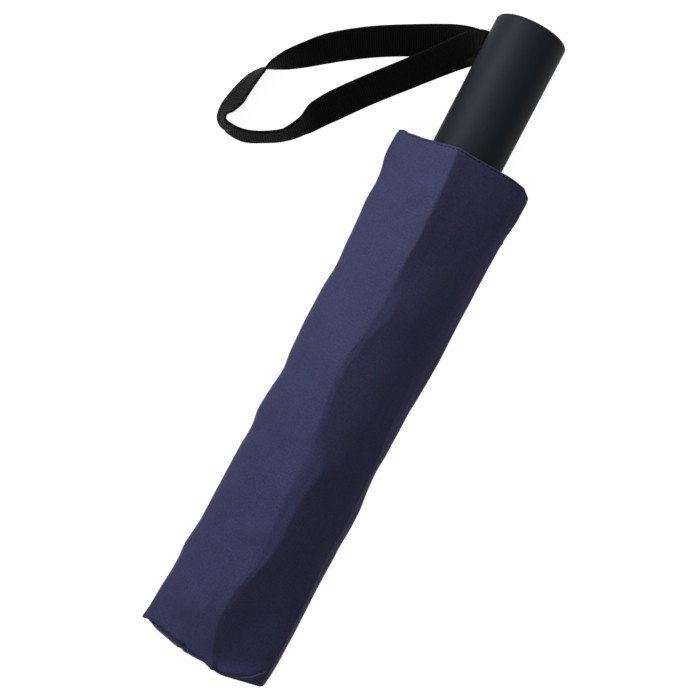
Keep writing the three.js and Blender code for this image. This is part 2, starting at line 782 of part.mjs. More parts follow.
// A spool inside the shell: two flanges on a boss that holds the end of the inner tube.
function makeHandleCore() {
  const flange = handleBore - gap;
  const bore = innerTubeRadius + gap;
  const boss = bore + coreBossWall;
  const blank = revolve([
    [coreEnd - coreFloor, 0],
    [coreEnd - coreFloor, bore],
    [coreTop, bore],
    [coreTop, flange],
    [coreTop + coreFlange, flange],
    [coreTop + coreFlange, boss],
    [coreEnd - coreFlange, boss],
    [coreEnd - coreFlange, flange],
    [coreEnd, flange],
    [coreEnd, 0],
  ]);
  const crossPinPlace = (coreTop + coreEnd) / 2;
  const pinHole = crossCylinder(crossPinPlace, crossPinRadius + gap, -handleBore, handleBore);
  addPiece("handle_core", cut(blank, pinHole), blackMoulding);
  addPiece("handle_cross_pin", crossCylinder(crossPinPlace, crossPinRadius, -boss, boss), brightSteel);
}

function makeHandleCap() {
  const radius = handleBore - gap;
  addPiece(
    "handle_end_cap",
    revolve([
      [plugStart, 0],
      [plugStart, radius],
      [plugEnd - capPlugChamfer, radius],
      [plugEnd, radius - capPlugChamfer],
      [plugEnd, 0],
    ]),
    blackHandle,
  );
}

// ---- Wrist strap -----------------------------------------------------------------------------

// The loop's route, in order from the handle and back to it, as seen from above: x, y, how far
// the lower edge lies above the surface, and how far the webbing leans over to the right of the
// way it runs, in degrees. It comes out of the slot flat, stands on its edge round the far end
// and leans over again on its way back under the first strand.
const strapRoute = [
  { x: 131, y: 10.1, lift: 16.9, lean: 90 },
  { x: 131, y: 13, lift: 15.8, lean: 90 },
  { x: 131, y: 16.2, lift: 14.5, lean: 88 },
  { x: 129.3, y: 19.6, lift: 10.9, lean: 76 },
  { x: 125.2, y: 24.2, lift: 6.2, lean: 61 },
  { x: 119, y: 30, lift: 2.7, lean: 51 },
  { x: 110, y: 38, lift: 0.7, lean: 46 },
  { x: 95, y: 50.8, lift: 0.1, lean: 45 },
  { x: 83.2, y: 60, lift: 0.1, lean: 46 },
  { x: 76, y: 64.8, lift: 0.1, lean: 38 },
  { x: 69, y: 67.8, lift: 0.1, lean: 18 },
  { x: 61.8, y: 73, lift: 0.1, lean: 8 },
  { x: 56.4, y: 81.3, lift: 0.1, lean: 7 },
  { x: 53.6, y: 88, lift: 0.1, lean: 10 },
  { x: 53.2, y: 93, lift: 0.1, lean: 12 },
  { x: 54.1, y: 97.4, lift: 0.1, lean: 15 },
  { x: 57, y: 99.9, lift: 0.1, lean: 26 },
  { x: 61.5, y: 99.7, lift: 0.1, lean: 35 },
  { x: 66, y: 98.7, lift: 0.1, lean: 39 },
  { x: 71, y: 97.8, lift: 0.1, lean: 36 },
  { x: 77, y: 96.2, lift: 0.1, lean: 30 },
  { x: 82, y: 93.9, lift: 0.1, lean: 20 },
  { x: 86, y: 91, lift: 0.1, lean: 0 },
  { x: 90.4, y: 86.9, lift: 0.1, lean: -16 },
  { x: 95.8, y: 81.4, lift: 0.1, lean: -28 },
  { x: 103, y: 74, lift: 0.1, lean: -41 },
  { x: 110, y: 65, lift: 0.1, lean: -45 },
  { x: 116, y: 56, lift: 0.1, lean: -46 },
  { x: 122, y: 45.5, lift: 0.1, lean: -47 },
  { x: 129, y: 31, lift: 2.2, lean: -56 },
  { x: 131, y: 22, lift: 8.4, lean: -76 },
  { x: 131, y: 16, lift: 12.9, lean: -90 },
  { x: 131, y: 12.5, lift: 14.3, lean: -90 },
  { x: 131, y: 9.6, lift: 15.5, lean: -90 },
];

// Rings of four corners along the webbing, each square to the route and turned by its lean.
function webbingRings() {
  const halfWidth = strapWidth / 2;
  const halfThickness = strapThickness / 2;
  const lay = strapRoute.map(({ x, y, lift, lean }) => {
    const angle = THREE.MathUtils.degToRad(lean);
    const height = lift + halfWidth * Math.cos(angle) + halfThickness * Math.abs(Math.sin(angle));
    return new THREE.Vector3(x, y, height - axisHeight);
  });
  const route = new THREE.CatmullRomCurve3(lay, false, "centripetal");
  const spansPerPoint = 2;
  const spans = (strapRoute.length - 1) * spansPerPoint;
  return Array.from({ length: spans + 1 }, (_, step) => {
    const share = step / spans;
    const place = share * (strapRoute.length - 1);
    const before = Math.min(Math.floor(place), strapRoute.length - 2);
    const lean = THREE.MathUtils.degToRad(
      THREE.MathUtils.lerp(strapRoute[before].lean, strapRoute[before + 1].lean, place - before),
    );
    const centre = route.getPoint(share);
    const along = route.getTangent(share);
    const right = new THREE.Vector3(along.y, -along.x, 0).normalize();
    const across = new THREE.Vector3(0, 0, Math.cos(lean)).addScaledVector(right, Math.sin(lean));
    across.addScaledVector(along, -across.dot(along)).normalize();
    const face = new THREE.Vector3().crossVectors(along, across);
    return [
      [-halfWidth, -halfThickness],
      [halfWidth, -halfThickness],
      [halfWidth, halfThickness],
      [-halfWidth, halfThickness],
    ].map(([u, v]) => centre.clone().addScaledVector(across, u).addScaledVector(face, v));
  });
}

// Closes the ends of the webbing, whose rings have four corners each.
function closeWebbing(rings) {
  const count = 4;
  const positions = rings.flat().flatMap((point) => [point.x, point.y, point.z]);
  const last = (rings.length - 1) * count;
  const indices = [0, 2, 1, 0, 3, 2, last, last + 1, last + 2, last, last + 2, last + 3];
  for (let ring = 0; ring < rings.length - 1; ring += 1) {
    for (let side = 0; side < count; side += 1) {
      const near = ring * count;
      const next = (side + 1) % count;
      indices.push(near + side, near + next, near + count + next);
      indices.push(near + side, near + count + next, near + count + side);
    }
  }
  const geometry = new THREE.BufferGeometry();
  geometry.setAttribute("position", new THREE.Float32BufferAttribute(positions, 3));
  geometry.setIndex(indices);
  return geometry;
}

function makeWristStrap() {
  addPiece("wrist_strap", closeWebbing(webbingRings()), blackWebbing);
  const profile = [
    [coreEnd + gap, 0],
    [coreEnd + gap, strapPinRadius],
    [plugStart - gap, strapPinRadius],
    [plugStart - gap, 0],
  ];
  const pin = revolve(profile, pinSides);
  pin.translate(0, strapPinOffset * Math.cos(strapSlotAngle), strapPinOffset * Math.sin(strapSlotAngle));
  addPiece("strap_pin", pin, brightSteel);
}

// ---- Sleeve ----------------------------------------------------------------------------------

// Corners of the sleeve's outside at a place along it, anticlockwise from the -Y crease seen
// from the tail, with the size of each soft corner and the bulge of the wall that follows it.
function sleeveCorners(x) {
  const { smoothstep } = THREE.MathUtils;
  const nearMouth = smoothstep(x, sleeveMouth - sleeveMouthFlare, sleeveMouth);
  const nearTail = 1 - smoothstep(x, sleeveTail, sleeveTail + sleeveTailFlare);
  const mouthFlare = (sleeveMouthHalf - sleeveWaistHalf) * nearMouth;
  const tailFlare = (sleeveTailHalf - sleeveWaistHalf) * nearTail;
  const half = sleeveWaistHalf + mouthFlare + tailFlare + softnessLoss * creaseSoftness;
  const drift = sleeveTailDrift * (1 - smoothstep(x, sleeveTail, sleeveTail + sleeveDriftLength));
  const sway = (2 * Math.PI * (x - sleeveTail + ridgeSwayStart)) / ridgeSwayLength;
  const ridge = ridgeOffset + ridgeSway * Math.sin(sway);
  const ridgeTop = sleeveRidgeRise + softnessLoss * ridgeSoftness;
  return [
    { y: -half + drift, z: 0, soft: creaseSoftness, bulge: bottomBulge },
    { y: -sleeveBottomHalf, z: -axisHeight, soft: bottomSoftness, bulge: 0 },
    { y: sleeveBottomHalf, z: -axisHeight, soft: bottomSoftness, bulge: bottomBulge },
    { y: half + drift, z: 0, soft: creaseSoftness, bulge: sideBulge },
    { y: ridge, z: ridgeTop, soft: ridgeSoftness, bulge: sideBulge },
  ];
}

// One ring of the sleeve: rounded corners and slightly bulged walls, never inside the bundle.
function sleeveOutline(x) {
  const corners = sleeveCorners(x);
  const cornerSteps = 3;
  const wallSteps = 3;
  const closest = bandRadius + sleeveSlack + sleeveWall;
  const points = [];
  corners.forEach((corner, index) => {
    const at = new THREE.Vector2(corner.y, corner.z);
    const before = corners[(index + corners.length - 1) % corners.length];
    const after = corners[(index + 1) % corners.length];
    const towards = (other, distance) =>
      new THREE.Vector2(other.y, other.z).sub(at).setLength(distance).add(at);
    const arc = new THREE.QuadraticBezierCurve(
      towards(before, corner.soft),
      at,
      towards(after, corner.soft),
    );
    points.push(...arc.getPoints(cornerSteps));
    const wallStart = towards(after, corner.soft);
    const next = new THREE.Vector2(after.y, after.z);
    const wallEnd = at.clone().sub(next).setLength(after.soft).add(next);
    const outward = wallEnd.clone().sub(wallStart).normalize();
    outward.set(outward.y, -outward.x);
    for (let step = 1; step < wallSteps; step += 1) {
      const share = step / wallSteps;
      const point = wallStart.clone().lerp(wallEnd, share);
      points.push(point.addScaledVector(outward, corner.bulge * 4 * share * (1 - share)));
    }
  });
  points.forEach((point) => {
    if (point.length() < closest) point.setLength(closest);
  });
  return points;
}

// The ring moved inwards by the wall's thickness, along the mean normal at each point.
function offsetInwards(points, distance) {
  return points.map((point, index) => {
    const before = points[(index + points.length - 1) % points.length];
    const after = points[(index + 1) % points.length];
    const along = after.clone().sub(before).normalize();
    return new THREE.Vector2(point.x - distance * along.y, point.y + distance * along.x);
  });
}

// The tail is raked: it is pulled in towards the ridge.
function tailRake(x, z) {
  const nearTail = 1 - THREE.MathUtils.smoothstep(x, sleeveTail, sleeveTail + sleeveRakeLength);
  return sleeveTailRake * nearTail * THREE.MathUtils.clamp(z / sleeveRidgeRise, 0, 1);
}

const sleeveRing = (x, points) =>
  points.map((point) => new THREE.Vector3(x + tailRake(x, point.y), point.x, point.y));

function makeSleeve() {
  const hemStart = sleeveMouth - sleeveHemWidth;
  const places = Array.from({ length: sleeveStations }, (_, station) =>
    THREE.MathUtils.lerp(sleeveTail, hemStart - sleeveHemStep, station / (sleeveStations - 1)),
  );
  const wallAt = (x) => (x < hemStart ? sleeveWall : sleeveWall + sleeveHemExtra);
  places.push(hemStart, sleeveMouth);
  const outer = places.map((x) => sleeveRing(x, sleeveOutline(x)));
  const inner = places.map((x) => sleeveRing(x, offsetInwards(sleeveOutline(x), wallAt(x))));
  addPiece("sleeve", stackRings([...outer, ...inner.reverse()], { loop: true }), navyCloth);
}

// The panel sewn across the tail, slightly domed outwards.
function makeSleeveBase() {
  const rim = sleeveOutline(sleeveTail);
  const panelRing = (share, x) =>
    sleeveRing(sleeveTail, rim.map((point) => point.clone().multiplyScalar(share))).map((point) =>
      point.setX(point.x - sleeveTail + x),
    );
  const flatShare = sleeveBaseRings.at(-1);
  const domeAt = (share) => (sleeveBaseBulge * (1 - share ** 2)) / (1 - flatShare ** 2);
  const outerRim = sleeveBaseRim - sleeveBaseWall;
  const outside = sleeveBaseRings.map((share) => panelRing(share, outerRim - domeAt(share)));
  const inside = sleeveBaseRings.map((share) => panelRing(share, sleeveBaseRim - domeAt(share)));
  addPiece("sleeve_base", stackRings([...outside.reverse(), ...inside]), navyCloth);
}

// ---- Assembly --------------------------------------------------------------------------------

makeTubes();
makeLockButtons();
makeRunnerCatch();
makeCrown();
makeTopCap();
makeRunner();
makeArms();
makeCanopy();
makeTieBand();
makeHandleShell();
makeHandleCore();
makeHandleCap();
makeWristStrap();
makeSleeve();
makeSleeveBase();

export default umbrella;
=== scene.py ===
"""A compact folding umbrella, packed in its fabric sleeve and lying on its side.

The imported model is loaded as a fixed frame. The soft pieces are rebuilt here as detailed surfaces,
the rigid ones keep their solids and get their finishes, and a plain studio is set up round them.
Lengths are in millimetres inside the classes and become metres when a mesh is made.
"""
import logging
import math
from dataclasses import dataclass
from enum import Enum
from typing import Callable, Sequence

import bmesh
import bpy
import numpy as np
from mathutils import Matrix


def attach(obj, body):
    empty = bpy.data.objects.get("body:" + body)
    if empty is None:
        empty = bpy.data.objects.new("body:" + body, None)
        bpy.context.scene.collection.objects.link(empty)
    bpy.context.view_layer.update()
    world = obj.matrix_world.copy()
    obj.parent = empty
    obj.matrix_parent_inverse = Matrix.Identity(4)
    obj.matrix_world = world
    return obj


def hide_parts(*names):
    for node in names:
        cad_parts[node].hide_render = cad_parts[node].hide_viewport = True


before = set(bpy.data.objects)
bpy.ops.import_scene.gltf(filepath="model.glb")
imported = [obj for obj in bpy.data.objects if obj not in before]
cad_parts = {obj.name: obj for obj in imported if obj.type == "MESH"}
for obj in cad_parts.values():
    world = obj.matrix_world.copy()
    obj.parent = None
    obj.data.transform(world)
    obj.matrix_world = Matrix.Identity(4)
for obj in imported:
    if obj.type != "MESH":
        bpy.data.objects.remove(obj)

Array = np.ndarray
Piece = bpy.types.Object
Socket = bpy.types.NodeSocket
Triple = tuple[float, float, float]

LOG = logging.getLogger("umbrella")
MM = 0.001
WHITE = (1.0, 1.0, 1.0)
WARM = (1.0, 0.88, 0.83)
AHEAD = np.array([1.0, 0.0, 0.0])
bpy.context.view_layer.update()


# ---- Shader expressions ----


class Shader:
    """One material's node tree, with a short way to add nodes."""

    def __init__(self, start: "str | bpy.types.NodeTree") -> None:
        """Start an empty node material, or empty a tree that is there.

        Args:
            start: the material's name, or the tree.
        """
        self.material = None
        self.tree = start
        if isinstance(start, str):
            self.material = bpy.data.materials.new(start)
            self.material.use_nodes = True
            self.tree = self.material.node_tree
        self.tree.nodes.clear()

    def node(self, kind: str, settings: dict | None = None, **inputs: object) -> bpy.types.Node:
        """Add one node.

        Args:
            kind: the node's type after ShaderNode, such as "TexNoise".
            settings: attributes set before the inputs.
            inputs: values or sockets by input name, with _ for a space, or in0, in1 by position.

        Returns:
            The new node.
        """
        made = self.tree.nodes.new("ShaderNode" + kind)
        for key, value in (settings or {}).items():
            setattr(made, key, value)
        for key, value in inputs.items():
            by_place = key[:2] == "in" and key[2:].isdigit()
            socket = made.inputs[int(key[2:]) if by_place else key.replace("_", " ")]
            value = value.socket if isinstance(value, Term) else value
            if isinstance(value, Socket):
                self.tree.links.new(value, socket)
            else:
                socket.default_value = value
        return made

    def term(self, socket: Socket) -> "Term":
        """A socket that can be used in an expression."""
        return Term(self, socket)

    def noise(self, vector: object, scale: float, detail: float) -> "Term":
        """Fractal noise from 0 to 1 at a scale in cycles a metre."""
        made = self.node("TexNoise", Vector=vector, Scale=scale, Detail=detail)
        return self.term(made.outputs["Fac"])

    def mix(self, factor: object, first: object, second: object) -> Socket:
        """A colour between two, by a factor from 0 to 1."""
        made = self.node("Mix", {"data_type": "RGBA"}, in0=factor, in6=first, in7=second)
        return made.outputs[2]

    def stretched(self, vector: object, scale: Triple) -> Socket:
        """The vector scaled along each of its axes."""
        return self.node("Mapping", Vector=vector, Scale=scale).outputs[0]

    def place(self) -> Socket:
        """The place on the object, in metres."""
        return self.node("TexCoord").outputs["Object"]

    def weave(self) -> tuple[Socket, "Term", "Term"]:
        """The weave's UV map in metres.

        Returns:
            (its vector, what runs across, what runs along).
        """
        uv = self.node("UVMap", {"uv_map": "weave"}).outputs[0]
        parts = self.node("SeparateXYZ", Vector=uv).outputs
        return uv, self.term(parts[0]), self.term(parts[1])

    def surface(self, finish: bpy.types.Node, height: "Term | None" = None, depth: float = 0.0) -> None:
        """Connect the shader to the output, with an optional bump.

        Args:
            finish: the shader node.
            height: what raises the surface, from 0 to 1.
            depth: how far 1 stands above 0, in metres.
        """
        if height is not None:
            bump = self.node("Bump", Height=height, Distance=depth, Strength=1.0)
            self.tree.links.new(bump.outputs[0], finish.inputs["Normal"])
        self.node("OutputMaterial", in0=finish.outputs[0])


def operator(operation: str, reflected: bool = False) -> Callable[["Term", object], "Term"]:
    """A method that adds one Math node.

    Args:
        operation: the node's operation.
        reflected: whether the other value comes first.

    Returns:
        The method, for a class with _math.
    """

    def apply(self: "Term", other: object) -> "Term":
        """The operation on this value and another."""
        return self._math(operation, *((other, self) if reflected else (self, other)))

    return apply


class Term:
    """A value socket with arithmetic: each operator adds one Math node."""

    def __init__(self, shader: Shader, socket: Socket) -> None:
        """Wrap a socket of a shader's tree."""
        self.shader = shader
        self.socket = socket

    def _math(self, operation: str, *values: object) -> "Term":
        """A Math node.

        Args:
            operation: its operation.
            values: its inputs in order, as numbers or terms.

        Returns:
            Its result.
        """
        inputs = {f"in{index}": value for index, value in enumerate(values)}
        made = self.shader.node("Math", {"operation": operation}, **inputs)
        return Term(self.shader, made.outputs[0])

    __add__ = __radd__ = operator("ADD")
    __mul__ = __rmul__ = operator("MULTIPLY")
    __sub__, __rsub__ = operator("SUBTRACT"), operator("SUBTRACT", True)

    def sine(self) -> "Term":
        """Sine of an angle in radians."""
        return self._math("SINE", self)

    def ripple(self, pitch: float) -> "Term":
        """A wave from 0 to 1 along this distance in metres, with its pitch in mm."""
        return (self * (math.tau / (pitch * MM))).sine() * 0.5 + 0.5

    def magnitude(self) -> "Term":
        """Absolute value."""
        return self._math("ABSOLUTE", self)

    def between(self, low: float, high: float) -> "Term":
        """0 below low, 1 above high and smooth between."""
        made = self.shader.node(
            "MapRange", {"interpolation_type": "SMOOTHSTEP"}, Value=self,
            From_Min=low, From_Max=high,
        )
        return Term(self.shader, made.outputs[0])


def rgba(colour: Sequence[float], level: float = 1.0) -> tuple[float, float, float, float]:
    """A linear colour at a level, with full alpha."""
    return (colour[0] * level, colour[1] * level, colour[2] * level, 1.0)


# ---- Finishes ----


@dataclass(frozen=True)
class Look:
    """A finish with a name and a colour, painted as one node material."""

    name: str
    colour: Triple

    def material(self) -> bpy.types.Material:
        """The material, made on first use.

        Returns:
            The material.
        """
        made = bpy.data.materials.get(self.name)
        if made is None:
            shader = Shader(self.name)
            self.paint(shader)
            made = shader.material
        return made


@dataclass(frozen=True)
class WovenCloth(Look):
    """Plain-woven polyester with a faint sheen, whose dye drifts towards a plum shade."""

    plum: Triple
    yarn: float = 0.34
    weave_depth: float = 0.035
    roughness: float = 0.8
    sheen: float = 1.0
    sheen_colour: tuple = (0.62, 0.55, 0.95)
    # how far the dark and light of the dye, with the painted shade in the weave's hollows, lie from its own
    # level
    dull: float = 0.72
    lively: float = 1.3

    def paint(self, sh: Shader) -> None:
        """Crossed yarns with painted shade in the weave's hollows, uneven dye and slightly shiny crowns, on
        the weave's map.

        Args:
            sh: the tree to fill.
        """
        uv, across, along = sh.weave()
        turn = math.pi / (self.yarn * MM)
        weave = (across * turn).sine() * (along * turn).sine() * 0.5 + 0.5
        warp_streak = sh.noise(sh.stretched(uv, (1.0, 0.02, 1.0)), 2600.0, 2.0)
        weft_streak = sh.noise(sh.stretched(uv, (0.02, 1.0, 1.0)), 2600.0, 2.0)
        cloud = sh.noise(uv, 38.0, 4.0)
        blotch = sh.noise(uv, 260.0, 4.0)
        drift = sh.noise(sh.stretched(uv, (1.0, 0.6, 1.0)), 330.0, 3.0).between(0.3, 0.7)
        grain = sh.noise(uv, 1900.0, 1.0)
        speckle = sh.noise(uv, 1100.0, 2.0)
        shade = (warp_streak + weft_streak) * 0.2 + cloud * 0.3 + grain * 0.25 + speckle * 0.55
        # weave * 0.1 is painted shade: the weave's hollows a little darker and its crowns lighter; the rest
        # is dye that varies at random
        shade = shade + weave * 0.1 + (blotch - 0.5) * 0.2
        dark, light = (
            sh.mix(drift, rgba(self.colour, level), rgba(self.plum, level))
            for level in (self.dull, self.lively)
        )
        finish = sh.node(
            "BsdfPrincipled", Base_Color=sh.mix(shade.between(0.45, 1.15), dark, light),
            Roughness=self.roughness + 0.14 * cloud - 0.1 * weave, Sheen_Weight=self.sheen,
            Sheen_Roughness=0.28, Sheen_Tint=rgba(self.sheen_colour), Specular_IOR_Level=0.1,
        )
        sh.surface(finish, weave * 0.8 + grain * 0.2, self.weave_depth * MM)


@dataclass(frozen=True)
class RibbedWebbing(Look):
    """Black webbing: ribs run across it, and a plain edge runs along each side."""

    rib: float = 1.0
    yarn: float = 0.42
    half_width: float = 7.5
    selvage: float = 0.9
    selvage_blend: float = 0.15
    relief: float = 0.09

    def paint(self, sh: Shader) -> None:
        """Ribs and yarns, with painted shade that darkens their grooves, and a plain edge, on the weave's
        map.

        Args:
            sh: the tree to fill.
        """
        uv, across, along = sh.weave()
        rib = along.ripple(self.rib)
        yarn = across.ripple(self.yarn)
        plain = self.half_width - self.selvage
        edge = across.magnitude().between(plain * MM, (plain + self.selvage_blend) * MM)
        fuzz = sh.noise(uv, 2400.0, 2.0)
        cloud = sh.noise(uv, 60.0, 3.0)
        # painted shade: the rib and yarn grooves are darker than their crests; the plain edge is darker too,
        # and fuzz and cloud vary the tone at random
        level = (rib * 0.45 + yarn * 0.2 + fuzz * 0.35 + cloud * 0.25) * (1.0 - edge * 0.55)
        colour = sh.mix(level.between(0.1, 1.0), rgba(self.colour, 0.45), rgba(self.colour, 1.6))
        finish = sh.node(
            "BsdfPrincipled", Base_Color=colour, Roughness=0.55 + 0.3 * fuzz - 0.12 * rib,
            Sheen_Weight=0.02, Sheen_Roughness=0.4, Specular_IOR_Level=0.06,
        )
        sh.surface(finish, rib * 0.6 + yarn * 0.2 + fuzz * 0.2, self.relief * MM)


@dataclass(frozen=True)
class MattPlastic(Look):
    """Moulded plastic with a fine spark-eroded grain and light handling marks."""

    roughness: float
    grain_depth: float = 0.012
    wear: float = 0.06
    worn_colour: tuple = (0.09, 0.095, 0.1)
    specular: float = 0.14
    specular_tint: tuple = (0.86, 0.95, 1.0)

    def paint(self, sh: Shader) -> None:
        """Grain, smudges and scuffs, by the place on the object.

        Args:
            sh: the tree to fill.
        """
        where = sh.place()
        grain = sh.noise(where, 5200.0, 2.0)
        smudge = sh.noise(where, 60.0, 4.0)
        marks = sh.noise(sh.stretched(where, (0.25, 1.0, 1.0)), 900.0, 6.0).between(0.6, 0.78)
        shade = grain * 0.5 + smudge * 0.5
        plain = sh.mix(shade, rgba(self.colour, 0.9), rgba(self.colour, 1.12))
        finish = sh.node(
            "BsdfPrincipled", Base_Color=sh.mix(marks * self.wear, plain, rgba(self.worn_colour)),
            Roughness=self.roughness - 0.05 + 0.1 * smudge - 0.06 * marks,
            Specular_IOR_Level=self.specular, Specular_Tint=rgba(self.specular_tint),
        )
        sh.surface(finish, grain, self.grain_depth * MM)


@dataclass(frozen=True)
class DrawnMetal(Look):
    """Drawn or rolled metal, plated or coated, with fine lines along the shaft."""

    roughness: float
    metallic: float = 1.0
    line_depth: float = 0.004

    def paint(self, sh: Shader) -> None:
        """Lines along X, a dull bloom and small pits, by the place on the object.

        Args:
            sh: the tree to fill.
        """
        where = sh.place()
        lines = sh.noise(sh.stretched(where, (0.02, 1.0, 1.0)), 3800.0, 4.0)
        bloom = sh.noise(where, 90.0, 4.0)
        pits = sh.noise(where, 1500.0, 3.0).between(0.66, 0.74)
        finish = sh.node(
            "BsdfPrincipled", Metallic=self.metallic,
            Base_Color=sh.mix(bloom * 0.5 + pits * 0.35, rgba(self.colour), rgba(self.colour, 0.62)),
            Roughness=self.roughness + 0.12 * bloom + 0.1 * lines + 0.15 * pits,
        )
        sh.surface(finish, lines, self.line_depth * MM)


class Finish(Enum):
    """The umbrella's finishes, each with the name of the slot that it belongs to."""

    CLOTH = ("navy_cloth", WovenCloth("navy_polyester", (0.0425, 0.0475, 0.112), (0.0465, 0.0455, 0.108)))
    # the thread's near-black navy is partly its own dye and partly painted shade of the stitched groove and
    # of the shaded -Y side
    THREAD = ("navy_cloth", WovenCloth("dark_thread_and_groove_shade", (0.009, 0.010, 0.024), (0.01, 0.009, 0.023),
                                       0.2, 0.02, 0.6, 0.1))
    WEBBING = ("black_webbing", RibbedWebbing("black_ribbed_webbing", (0.0042, 0.0042, 0.0048)))
    HANDLE = ("black_handle", MattPlastic("matt_black_handle", (0.0100, 0.0130, 0.0172), 0.51))
    MOULDING = ("black_moulding", MattPlastic("black_moulding", (0.018, 0.018, 0.019), 0.42, 0.006))
    BRIGHT = ("bright_steel", DrawnMetal("plated_steel", (0.62, 0.63, 0.64), 0.18))
    COATED = ("black_steel", DrawnMetal("black_coated_steel", (0.035, 0.035, 0.038), 0.4, 0.6))

    def dress(self, piece: Piece) -> None:
        """Give a piece this finish alone."""
        piece.data.materials.clear()
        piece.data.materials.append(self.value[1].material())


# ---- Meshes ----


def smooth_steps(value: Array, low: float, high: float) -> Array:
    """3t^2 - 2t^3 of the share t of the way from low to high, held at 0 and 1 outside."""
    share = np.clip((value - low) / (high - low), 0.0, 1.0)
    return share * share * (3.0 - 2.0 * share)


def unit(vectors: Array) -> Array:
    """Vectors scaled to length 1 along their last axis."""
    return vectors / np.maximum(np.linalg.norm(vectors, axis=-1, keepdims=True), 1e-9)


def run_along(path: Array) -> Array:
    """The distance covered at each point of a path."""
    return np.append(0.0, np.cumsum(np.linalg.norm(np.diff(path, axis=0), axis=1)))


def read_off(where: Array, run: Array, path: Array) -> Array:
    """What a path holds at distances along it, as run_along measures them."""
    return np.stack([np.interp(where, run, column) for column in path.T], axis=-1)


def weave_grid(across: Array, along: Array) -> Array:
    """UV of a grid, from one value for each column and one for each row."""
    return np.stack(np.broadcast_arrays(across[None, :], along[:, None]), axis=-1)


def flowing(stations: Sequence[tuple[float, float]], where: Array, soften: float) -> Array:
    """A soft curve near a few (place, value) points.

    The points are joined by straight lines, which are then averaged under a bell curve.

    Args:
        stations: (place, value) in order of place, in mm.
        where: the places wanted, in mm.
        soften: the bell's standard deviation, in mm.

    Returns:
        The value at each place.
    """
    places, values = np.array(stations).T
    step, far = 0.5, 4 * soften
    fine = np.arange(places[0] - far, places[-1] + far, step)
    straight = np.interp(fine, places, values)
    reach = np.arange(-far, far + 0.5 * step, step)
    bell = np.exp(-0.5 * (reach / soften) ** 2)
    margin = len(reach) // 2
    padded = np.pad(straight, margin, mode="edge")
    soft = np.convolve(padded, bell / bell.sum(), mode="same")[margin: margin + len(fine)]
    return np.interp(where, fine, soft)


def spread_normals(points: Array) -> Array:
    """Unit normals of a grid: the cross product of its differences along rows and columns.

    Args:
        points: grid of shape (rows, columns, 3), whose last column joins the first.

    Returns:
        Normals of the same shape, pointing to the left of the rows' way round.
    """
    along = np.gradient(points, axis=0)
    around = np.roll(points, -1, axis=1) - np.roll(points, 1, axis=1)
    return unit(np.cross(around, along))


def unevenness(seed: int, longest: float, shortest: float, across: Array, along: Array) -> Array:
    """Smooth seeded unevenness: a sum of sine waves with random headings and phases.

    Args:
        seed: seed of the random draws.
        longest: longest wave, in mm.
        shortest: shortest wave, in mm.
        across: one coordinate of the places, in mm.
        along: the other.

    Returns:
        The sum at each place, about -1 to 1.
    """
    count = 14
    rng = np.random.default_rng(seed)
    length = np.exp(rng.uniform(math.log(shortest), math.log(longest), count))
    heading = rng.uniform(0, math.tau, count)
    starts = rng.uniform(0, math.tau, count)
    pulls = np.stack([np.cos(heading), np.sin(heading)]) * math.tau / length
    shares = length / np.sqrt(np.sum(length**2))
    total = np.zeros(np.broadcast(across, along).shape)
    for (pull_x, pull_y), start, share in zip(pulls.T, starts, shares):
        total += share * np.sin(pull_x * across + pull_y * along + start)
    return total


def grid_faces(rows: int, columns: int, wrap: bool) -> Array:
    """Quads of a grid, each as four vertex numbers, row by row.

    Args:
        rows: number of rows of vertices.
        columns: number of columns of vertices.
        wrap: whether the last column joins the first.

    Returns:
        Array of shape (faces, 4).
    """
    across = np.arange(columns if wrap else columns - 1)
    up = np.arange(rows - 1)[:, None]
    after = (across + 1) % columns
    near, far = up * columns, (up + 1) * columns
    quads = np.stack([near + across, near + after, far + after, far + across], axis=-1)
    return quads.reshape(-1, 4)


def make_mesh(name: str, points: Array, faces: Array, weave: Array) -> Piece:
    """Make a smooth-shaded object from arrays.

    Args:
        name: the object's name.
        points: vertices in mm, shape (count, 3).
        faces: polygons of equal size, shape (faces, corners).
        weave: UV of each face corner, in mm, shape (faces, corners, 2).

    Returns:
        The new object, at the origin.
    """
    mesh = bpy.data.meshes.new(name)
    mesh.from_pydata((points * MM).tolist(), [], faces.tolist())
    layer = mesh.uv_layers.new(name="weave")
    layer.data.foreach_set("uv", (weave * MM).astype(np.float32).ravel())
    mesh.shade_smooth()
    made = bpy.data.objects.new(name, mesh)
    bpy.context.scene.collection.objects.link(made)
    return made


def make_surface(name: str, points: Array, weave: Array, wrap: bool = False, flip: bool = False) -> Piece:
    """Make an object from a grid of points.

    Args:
        name: the object's name.
        points: grid of shape (rows, columns, 3), in mm.
        weave: UV in mm of shape (rows, columns, 2), or one column more where the grid wraps.
        wrap: whether the last column joins the first.
        flip: turns the faces round.

    Returns:
        The new object.
    """
    rows, columns = points.shape[:2]
    faces = grid_faces(rows, columns, wrap)
    uv_faces = grid_faces(rows, weave.shape[1], False)
    if flip:
        faces = faces[:, ::-1]
        uv_faces = uv_faces[:, ::-1]
    return make_mesh(name, points.reshape(-1, 3), faces, weave.reshape(-1, 2)[uv_faces])


def merge_doubles(piece: Piece, distance: float = 1e-6) -> None:
    """Join vertices that lie together, which closes poles and seams.

    Args:
        piece: the piece.
        distance: how far apart they may lie, in metres.
    """
    sheet = bmesh.new()
    sheet.from_mesh(piece.data)
    bmesh.ops.remove_doubles(sheet, verts=sheet.verts, dist=distance)
    bmesh.ops.dissolve_degenerate(sheet, edges=sheet.edges, dist=distance)
    sheet.to_mesh(piece.data)
    sheet.free()


def in_metres(size: Sequence[float]) -> tuple[float, ...]:
    """A size in mm, given in metres."""
    return tuple(value * MM for value in size)


